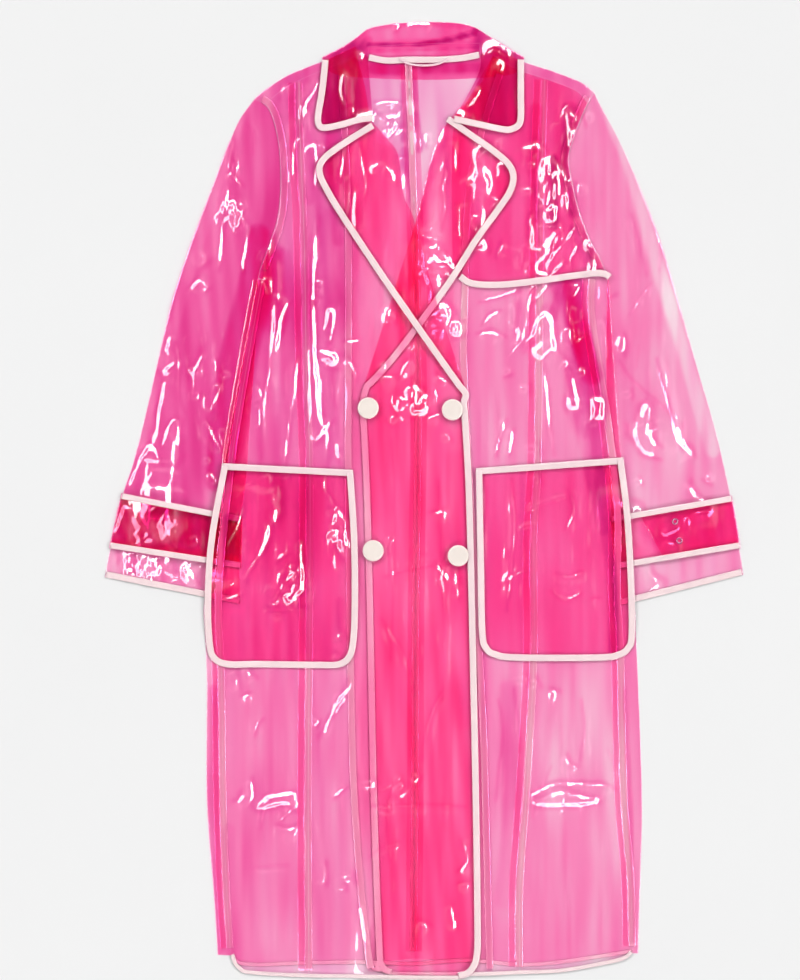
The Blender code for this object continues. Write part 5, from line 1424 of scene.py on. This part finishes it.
# Air under the film: x, y, reach in x, reach in y, height.
BILLOWS = {
    "sleeve_top": ((-270, 800, 70, 280, 3.0), (-300, 540, 70, 90, 2.0),
                   (268, 800, 70, 280, 3.0), (305, 540, 70, 90, 2.0)),
    "front_left": ((170, 560, 90, 420, 2.4), (180, 180, 100, 200, 1.6)),
    "front_right": ((-175, 700, 80, 330, 2.4), (-190, 180, 90, 200, 1.6),
                    (-20, 350, 90, 330, 1.2), (-120, 950, 60, 130, 1.8)),
    "pocket": ((-170, 500, 90, 110, 1.6), (155, 500, 90, 110, 1.6)),
    "lapel_right": ((-60, 930, 60, 90, 2.2),),
    "lapel_left": ((55, 930, 50, 80, 2.2),),
    "gun_flap": ((130, 950, 70, 110, 2.0),),
    "collar": ((-98, 1075, 30, 45, 1.6), (92, 1070, 30, 45, 1.6)),
}
print(f"{sum(map(len, CREASES.values()))} creases, {sum(map(len, CRUMPLES.values()))} crumples, "
      f"{sum(map(len, BUNCHES_AND_SHADE.values()))} bunches")

# %% [markdown]
# ## Sleeves and cuffs
# A set-in sleeve lies flat as two layers joined by a fold on either side, and
# its cuff strap is a flat ring round it. Each could be a closed bag with air in
# it. As one open surface that turns round at both folds, it stays thin, and the
# light passes as many plies as on the real one.

# %% Sleeves and cuffs
for_sleeves = {side: sleeve_outline(side) for side in SIDES}
for_straps = {side: strap_outline(side) for side in SIDES}


def lay_pair(layer, outlines):
    """Lay one layer of both sleeves or both straps."""
    lay(layer, [outlines[side][0] for side in SIDES], rise=creases(layer))


def tube(name, side, outlines, lower, upper, material):
    """Film all round: a lower and an upper layer, joined by a fold on either side."""
    outline, outer, inner = outlines[side]
    return film(name, [(outline, lower, False), (outline, upper, True)],
                [(0, 1, straight(outer)), (0, 1, straight(inner))], material)


def film_side(side, width):
    """Reach left and right of a line, for a band on the film's side of it."""
    return (width, 0.0) if side == "right" else (0.0, width)


lay_pair("strap_under", for_straps)
lay_pair("sleeve_under", for_sleeves)
lay_pair("sleeve_top", for_sleeves)
for side in SIDES:
    made[f"sleeve_{side}"] = tube(f"sleeve_{side}_tube", side, for_sleeves, "sleeve_under",
                                  "sleeve_top", clear_film)
cuffs = {side: straight((SLEEVE_OUTER[side][-1], SLEEVE_INNER[side][-1]), 3) for side in SIDES}
lay_bands("sleeve_hems", [(f"sleeve_hem_binding_{side}", trim(cuffs[side], 1, 1), *film_side(side, HEM),
                           binding_vinyl, f"sleeve_{side}") for side in SIDES])
lay_pair("strap_over", for_straps)
for side, plies in zip(SIDES, (double_film, clear_film)):
    made[f"cuff_strap_{side}"] = tube(f"cuff_strap_{side}_ring", side, for_straps, "strap_under",
                                      "strap_over", plies)
lay_film("strap_tabs", [(f"cuff_tab_{side}", tab_outline(side), plies)
                        for side, plies in zip(SIDES, (clear_film, double_film))])
rows = []
for side in SIDES:
    _, outer, inner = for_straps[side]
    for edge, k in (("upper", 0), ("lower", 1)):
        line = trim(straight((outer[k], inner[k]), 3), 0.5, 0.5)
        reach = (STRAP_BOUND, 0.0) if (edge == "lower") == (side == "right") else (0.0, STRAP_BOUND)
        rows.append((f"cuff_{edge}_binding_{side}", line, *reach, binding_vinyl, f"cuff_strap_{side}"))
lay_bands("strap_trim", rows)
print(f"sleeves and straps laid, top at {top.max():.1f} mm")

# %% [markdown]
# ## Back
# The back is two halves with a seam down the middle. Both come round the sides
# and over the shoulders to seams on the front. The flat part is laid now, and
# the strips that wrap round join it once the fronts are there to lie on.

# %% Back
collar_fall = closed(curve(COLLAR_ROLL), curve(COLLAR_FALL))
backs = {side: back_outline(side) for side in SIDES}
lay("collar_fall", [collar_fall], rise=creases("collar_fall"))
lay("back", list(backs.values()), rise=creases("back"))
back_hem = curve([*BACK_HEM["right"], *BACK_HEM["left"][1:]], 3)
centre_back = trim(curve(CENTRE_BACK, 3), HEM + 1, 5)
lay_bands("back_hem", [("back_hem_binding", back_hem, HEM_BOUND, 0.0, binding_vinyl, "back_right")])
lay_bands("back_tape", [("centre_back_tape", centre_back, 0.5 * TAPE, 0.5 * TAPE, seam_tape, "back_left"),
                        ("centre_back_allowance", centre_back, 9.5, 10.5, allowance_film, "back_right")],
          TAPE_SECTION, TAPE_T)
print(f"back laid, top at {top.max():.1f} mm")

# %% [markdown]
# ## Fronts
# Each front is a facing, a centre and a side panel with a taped princess seam,
# and a lapel that is turned out at the roll line. The left one has the gun flap
# besides. They could be mirrored, but the right one overlaps the left, so its
# edge, break and hem are its own. One loop lays both, the lower first.

# %% Fronts, the left one first
def front_binding(side):
    """Middle of the binding along the lapel's edge, past the break and on down the front edge."""
    reach = 0.5 * BINDING if side == "right" else -0.5 * BINDING
    lapel = beside(curve(LAPEL[side], 3), reach)[:-2]
    edge = beside(curve(FRONT_EDGE[side], 3), -reach)[1:]
    return curve([*lapel[::4], *edge[3:-18:4], *edge[-18:]], 3)


def hem_line(side):
    """Foot of one front, from the front edge to the side."""
    return trim(curve([FRONT_EDGE[side][-1], *FRONT_HEM[side]], 3), 2 * GAP)


for side in ("left", "right"):
    way = 1 if side == "right" else -1
    lay_film(f"facing_{side}", [(f"facing_{side}", facing_outline(side), clear_film)])
    edge = trim(curve(FACING[side], 3), 12, 4)
    reach = film_side(side, TAPE)
    lay_bands(f"facing_trim_{side}", [(f"facing_tape_{side}", edge, *reach, seam_tape, f"facing_{side}")],
              TAPE_SECTION, TAPE_T)
    princess = trim(curve(PRINCESS[side], 3), 2, HEM + 1)
    seam = trim(curve([(row[2], row[0]) for row in SIDE[side]], 3), 2, HEM + 1)
    armhole = trim(beside(curve(ARMHOLE[side], 3), way * 2 * GAP), 8, 14)
    lay_bands(f"front_trim_{side}", [
        (f"princess_tape_{side}", princess, 0.5 * TAPE, 0.5 * TAPE, seam_tape, f"front_side_{side}"),
        (f"princess_allowance_{side}", princess, -5.0, 13.0, allowance_film, f"front_centre_{side}"),
        (f"side_tape_{side}", seam, 0.5 * TAPE, 0.5 * TAPE, seam_tape, f"front_side_{side}"),
        (f"side_allowance_{side}", seam, -4.5, 11.5, allowance_film, f"front_side_{side}"),
        (f"armhole_tape_{side}", armhole, *reach, seam_tape, f"front_side_{side}")],
        TAPE_SECTION, TAPE_T)
    lay_film(f"front_{side}", [(f"front_centre_{side}", front_centre_outline(side), clear_film),
                               (f"front_side_{side}", front_side_outline(side), clear_film)],
             [side_wrap(side), shoulder_wrap(side)])
    reach = film_side("left" if side == "right" else "right", HEM_BOUND)
    lay_bands(f"front_hem_{side}", [(f"front_hem_binding_{side}", hem_line(side), *reach, binding_vinyl,
                                     f"front_centre_{side}")])
    if side == "left":
        lay_film("gun_flap", [("gun_flap", flap_outline(), double_film)])
        lay_bands("flap_trim", [("gun_flap_binding", curve(FLAP_FOOT, 3), BOUND, 0.0, binding_vinyl,
                                 "gun_flap")])
    lay_film(f"lapel_{side}", [(f"lapel_{side}", lapel_outline(side), double_film)])
    lay_bands(f"front_edge_{side}", [(f"front_edge_binding_{side}", front_binding(side), 0.5 * BOUND,
                                      0.5 * BOUND, binding_vinyl, f"front_centre_{side}")])
for side in SIDES:
    regions = [(backs[side], "back", False), (side_wrap(side), f"front_{side}", True),
               (shoulder_wrap(side), f"front_{side}", True)]
    made[f"back_{side}"] = film(f"back_{side}_sheet", regions,
                                [(0, 1, side_line(side, 1)), (0, 2, curve(SHOULDER[side]))], clear_film)
print(f"fronts laid and backs closed, top at {top.max():.1f} mm")

# %% [markdown]
# ## Pockets
# Two patch pockets of doubled film, open at the top, with a binding on all four
# edges. They could be part of the side panels, but a patch has its own creases
# and its own step, where the light catches its edge.

# %% Pockets
mouths = {side: straight(POCKET_MOUTH[side], 3) for side in SIDES}
edges = {side: trim(curve(POCKET_EDGE[side], 3), 2, 2) for side in SIDES}
lay_film("pocket", [(f"pocket_{side}", closed(straight(POCKET_MOUTH[side]), curve(POCKET_EDGE[side])),
                     double_film) for side in SIDES])
for part, lines in (("mouth", mouths), ("edge", edges)):
    lay_bands(f"pocket_{part}s", [(f"pocket_{part}_binding_{side}", lines[side], 0.0, BOUND, binding_vinyl,
                                   f"pocket_{side}") for side in SIDES])
print(f"pockets laid, top at {top.max():.1f} mm")

# %% [markdown]
# ## Collar
# The collar is one doubled piece: the fall behind the neck, folded over at the
# roll line into two leaves in front. Both halves are laid on their own layer and
# joined by the fold, as the sleeves are, so its edge is round and not cut.

# %% Collar
lay("collar", [collar_outline(), stand_outline()], rise=creases("collar"))
regions = [(collar_fall, "collar_fall", False), (collar_outline(), "collar", True)]
made["collar"] = film("collar_sheet", regions, [(0, 1, curve(COLLAR_ROLL))], double_film)
made["collar_stand"] = film("collar_stand_sheet", [(stand_outline(), "collar", True)], material=double_film)
lay_bands("collar_trim", [(f"collar_binding_{side}", trim(curve(LEAF_EDGE[side], 3), 2),
                           *film_side(side, BOUND), binding_vinyl, "collar") for side in SIDES])
neck = trim(curve(NECK_SEAM[1:-1], 3), 1, 1)
lay_bands("neck_trim", [("neck_binding", neck, 0.5 * HEM, 0.5 * HEM, binding_vinyl, "collar_stand")])
lay_bands("hanger", [("hanger_loop", curve(HANGER, 2), 0.5 * LOOP, 0.5 * LOOP, loop_vinyl,
                      "collar_stand")], thick=LOOP_T)
print(f"{len(made)} pieces of film and trim, top at {top.max():.1f} mm")

# %% [markdown]
# ## Buttons and eyelets
# The buttons are domed discs covered in vinyl with a rim that is rolled over,
# and the eyelets are small pressed rings. Both are round, so each is a profile
# that is turned about an upright axis and set on the highest film below it.

# %% Buttons and eyelets
def seat(x, y, diameter):
    """Highest film under a small disc."""
    near = np.hypot(NODE_X - x, NODE_Y - y) < 0.5 * diameter
    return float(top[near].max())


# share of the radius, height in millimetres: a flat foot, a rolled rim, a shallow groove and a low dome
BUTTON_PROFILE = ((0, 0), (0.7, 0), (0.93, 0.5), (1.0, 1.4), (0.985, 2.4), (0.93, 3.2), (0.86, 3.55),
                  (0.8, 3.5), (0.7, 3.45), (0.4, 3.75), (0, 3.9))
EYELET_PROFILE = ((EYELET_HOLE / EYELET_D, 0), (1.0, 0), (1.0, 0.35), (0.9, 0.8), (0.72, 1.0),
                  (0.54, 0.85), (EYELET_HOLE / EYELET_D, 0.4))


def turned(spots, suffix, profile, diameter, gap, sides, material):
    """One turned piece at each of the spots, a small gap above the film."""
    rows = [(0.5 * diameter * share, rise) for share, rise in profile]
    for node, x, y in spots:
        z = seat(x, y, diameter) + gap
        made[node] = lathe(f"{node}_{suffix}", rows, x, y, z, sides, material)


turned(BUTTONS, "covered", BUTTON_PROFILE, BUTTON_D, 0.2, 64, button_vinyl)
turned(EYELETS, "ring", EYELET_PROFILE, EYELET_D, 0.1, 40, eyelet_metal)
print(f"{len(BUTTONS)} buttons of {BUTTON_D} mm and {len(EYELETS)} eyelets of {EYELET_D} mm")

# %% [markdown]
# ## Stitches
# Every binding is sewn down along its inner edge with a lockstitch. One stitch
# is a small capsule, and Geometry Nodes repeat it along the lines that the
# bindings left behind. Here the repeat follows a path, so nodes are shorter and
# easier to change than a loop: the pitch and the thread are inputs.

# %% Stitch the bindings
STITCH = {"pitch": 0.0042, "length": 0.003, "thread": 0.00045}   # in metres, as the nodes take them
BEAD = (6, 5)     # sides and rings of one stitch


def stitch_tree():
    """Geometry Nodes that set stitches along the lines of a mesh."""
    tree = bpy.data.node_groups.new("lockstitch", "GeometryNodeTree")
    face = tree.interface
    face.new_socket("Lines", in_out="INPUT", socket_type="NodeSocketGeometry")
    for name in ("Pitch", "Length", "Thread"):
        face.new_socket(name, in_out="INPUT", socket_type="NodeSocketFloat")
    face.new_socket("Finish", in_out="INPUT", socket_type="NodeSocketMaterial")
    face.new_socket("Stitches", in_out="OUTPUT", socket_type="NodeSocketGeometry")
    given = tree.nodes.new("NodeGroupInput").outputs
    path = add(tree, "GeometryNodeMeshToCurve", {}, {"Mesh": given["Lines"]}).outputs[0]
    spots = add(tree, "GeometryNodeCurveToPoints", {"mode": "LENGTH"}, {
        "Curve": path, "Length": given["Pitch"]}).outputs
    turn = add(tree, "FunctionNodeAlignRotationToVector", {"axis": "X"}, {
        "Vector": spots["Tangent"]}).outputs[0]
    bead = add(tree, "GeometryNodeMeshUVSphere", {}, {
        "Segments": BEAD[0], "Rings": BEAD[1], "Radius": 0.5}).outputs["Mesh"]
    size = add(tree, "ShaderNodeCombineXYZ", {}, {
        "X": given["Length"], "Y": given["Thread"], "Z": given["Thread"]}).outputs[0]
    row = add(tree, "GeometryNodeInstanceOnPoints", {}, {
        "Points": spots["Points"], "Instance": bead, "Rotation": turn, "Scale": size}).outputs[0]
    row = add(tree, "GeometryNodeRealizeInstances", {}, {"Geometry": row}).outputs[0]
    row = add(tree, "GeometryNodeSetMaterial", {}, {"Geometry": row, "Material": given["Finish"]}).outputs[0]
    tree.links.new(row, tree.nodes.new("NodeGroupOutput").inputs[0])
    return tree


def stitched(name, lines, pitch, length, thread, finish):
    """One plain mesh of stitches along all the lines."""
    points, pairs = [], []
    for line in lines:
        pairs += [(len(points) + k, len(points) + k + 1) for k in range(len(line) - 1)]
        points += line.tolist()
    guide = make(name, points, [], finish)
    guide.data.edges.add(len(pairs))
    guide.data.edges.foreach_set("vertices", [v for pair in pairs for v in pair])
    guide.data.update()
    tree = stitch_tree()
    step = guide.modifiers.new("stitches", "NODES")
    step.node_group = tree
    for key, value in (("Pitch", pitch), ("Length", length), ("Thread", thread), ("Finish", finish)):
        step[tree.interface.items_tree[key].identifier] = value
    seen = guide.evaluated_get(bpy.context.evaluated_depsgraph_get())
    mesh = bpy.data.meshes.new_from_object(seen)
    guide.modifiers.clear()
    mesh.materials.clear()
    mesh.materials.append(finish)
    mesh.polygons.foreach_set("material_index", [0] * len(mesh.polygons))
    mesh.polygons.foreach_set("use_smooth", [True] * len(mesh.polygons))
    guide.data = mesh
    return guide


thread = stitched("binding_stitches", stitch_lines, **STITCH, finish=thread_cotton)
extra_pieces.append(thread)
print(f"{len(thread.data.polygons) // (BEAD[0] * BEAD[1])} stitches on {len(stitch_lines)} bindings")

# %% [markdown]
# ## Telling the frame
# Every piece rides on the coat's one body and stands for its solid.


# What each piece of film lies on.
LIES_ON = {"gun_flap": ["front_centre_left"], "collar": ["back_right", "back_left"],
           "collar_stand": ["back_right", "back_left"]}
for side, below in (("right", "front_centre_left"), ("left", "back_left")):
    LIES_ON |= {f"sleeve_{side}": [f"cuff_strap_{side}"], f"cuff_tab_{side}": [f"cuff_strap_{side}"],
                f"back_{side}": [f"sleeve_{side}"], f"facing_{side}": [below],
                f"front_centre_{side}": [f"facing_{side}"], f"front_side_{side}": [f"back_{side}"],
                f"lapel_{side}": [f"front_centre_{side}"], f"pocket_{side}": [f"front_side_{side}"]}
# only film has the attributes that film() gives it
for node, piece in made.items():
    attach(piece, "root")
    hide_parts(node)
for piece in extra_pieces:
    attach(piece, "root")

# %% [markdown]
# ## Floor
# A plain pale paper floor, wide enough that no edge shows from any side. It has
# no shine, so the film above it is lit evenly from below.

# %% Floor
MOTTLE = 330.0     # size of a patch of tone on the paper, in millimetres
FLOOR = 15000.0    # half the floor's side, in millimetres
BELOW = -0.2       # and its height, so that the lowest film does not touch it


def floor_material():
    """Matt white paper: no shine, and a very slow change of tone."""
    material, tree, output = new_material("pale_paper_floor")
    place = add(tree, "ShaderNodeTexCoord").outputs["Object"]
    tone = toned(tree, place, MOTTLE, 4.0, "#EFEFEF", "#F3F3F3")
    shader = add(tree, "ShaderNodeBsdfDiffuse", {}, {"Color": tone})
    tree.links.new(shader.outputs[0], output.inputs["Surface"])
    return material


corners = [(x * FLOOR, y * FLOOR, BELOW) for x, y in ((-1, -1), (1, -1), (1, 1), (-1, 1))]
ground = make("studio_floor", corners, [(0, 1, 2, 3)], floor_material(), smooth=False)
print(f"floor of {0.002 * FLOOR:.0f} m, {-BELOW} mm under the coat")

# %% [markdown]
# ## Lights
# Clear film shows only what it mirrors, so the light is a room and not a lamp.
# Softboxes hang in a ring round the camera, brightest at the upper right. The
# air straight above is dark, which keeps flat film deep in colour, and the ring
# shows as a white streak wherever a crease turns the film about 20 degrees
# towards it. Area lamps could do the same, but a sky has no edges or distance
# to set, and it lights the coat alike from all sides.

# %% Lights
AIR = (0.9, 0.03)        # how bright the air is at the horizon, and overhead
DARKENS = (0.15, 0.5)    # it goes dark between these heights on the sky
RING = (0.60, 0.845)     # the softboxes hang in a ring, between these heights
RIM = 0.02               # and this is how soft their edges are
LAMPS = (2.3, 3.2)       # the ring's brightness between the softboxes and at them
BOXES = 4.0              # softboxes in the ring
KEY_TURN = 0.9           # the ring is brightest this way round, in radians from x
FAVOUR = (0.55, 1.45)    # share of light from the dim side and from the bright one
ACROSS = 0.7             # half the width of the change between them
GLARE = 7.0              # a mirror sees the lamps themselves, so much brighter than their diffusers
SHEEN = 1.4              # the ceiling's glow inside the ring, which pales a slight slope
GLOW = (0.985, 0.87)     # it comes up between these heights
world = bpy.data.worlds.new("studio_air")
world.use_nodes = True
tree = world.node_tree
tree.nodes.clear()
direction = add(tree, "ShaderNodeTexCoord").outputs["Generated"]
split = add(tree, "ShaderNodeSeparateXYZ", {}, {"Vector": direction}).outputs
up = split["Z"]
ring = calc(tree, "MULTIPLY", fade(tree, up, RING[0], RING[0] + RIM, 0.0, 1.0, soft=True),
            fade(tree, up, RING[1], RING[1] - RIM, 0.0, 1.0, soft=True))
turn = calc(tree, "MULTIPLY", calc(tree, "ARCTAN2", split["Y"], split["X"]), BOXES)
power = fade(tree, calc(tree, "COSINE", turn), -1.0, 1.0, *LAMPS)
key = add(tree, "ShaderNodeVectorMath", {"operation": "DOT_PRODUCT"}, {
    0: direction, 1: (cos(KEY_TURN), sin(KEY_TURN), 0.0)}).outputs["Value"]
favour = fade(tree, key, -ACROSS, ACROSS, *FAVOUR)
lamps = calc(tree, "MULTIPLY", calc(tree, "MULTIPLY", power, favour), ring)
mirror = add(tree, "ShaderNodeLightPath").outputs["Is Glossy Ray"]
lamps = calc(tree, "MULTIPLY", lamps, fade(tree, mirror, 0.0, 1.0, 1.0, GLARE))
dim = fade(tree, up, *DARKENS, *AIR, soft=True)
glow = calc(tree, "MULTIPLY", fade(tree, up, *GLOW, 0.0, SHEEN, soft=True), mirror)
total = calc(tree, "ADD", lamps, calc(tree, "MULTIPLY_ADD", glow, favour, dim))
air = add(tree, "ShaderNodeBackground", {}, {"Color": linear("#FFFFFF"), "Strength": total}).outputs[0]
add(tree, "ShaderNodeOutputWorld", {}, {"Surface": air})
bpy.context.scene.world = world
bpy.context.scene.view_settings.view_transform = "Standard"

# A ray passes a dozen films one after another, but only one bounce off the floor or a film shows.
bounces = bpy.context.scene.cycles
bounces.transparent_max_bounces = 48
bounces.max_bounces = 3
bounces.diffuse_bounces = 1
bounces.glossy_bounces = 1
print(f"ring of softboxes {LAMPS[0]} to {LAMPS[1]} bright, {GLARE:.0f} times that in a mirror")

# %% [markdown]
# ## Camera
# Straight above, and far off with a long lens, so that the coat is seen as flat
# as its own pattern and nothing leans outwards at the edges.

# %% Camera
VIEW_MM = 1176.0             # height of the picture on the floor
DISTANCE = 6.0               # the camera's height, in metres
AIM = (-0.0288, 0.0128)      # the spot on the floor that it looks straight down on, in metres
camera = bpy.data.cameras.new("camera")
camera.sensor_width = 36.0
camera.lens = camera.sensor_width * DISTANCE * 1000.0 / VIEW_MM
stand = bpy.data.objects.new("camera", camera)
stand.location = (*AIM, DISTANCE)
bpy.context.scene.collection.objects.link(stand)
bpy.context.scene.camera = stand
print(f"camera {DISTANCE:.0f} m up, {camera.lens:.0f} mm lens")
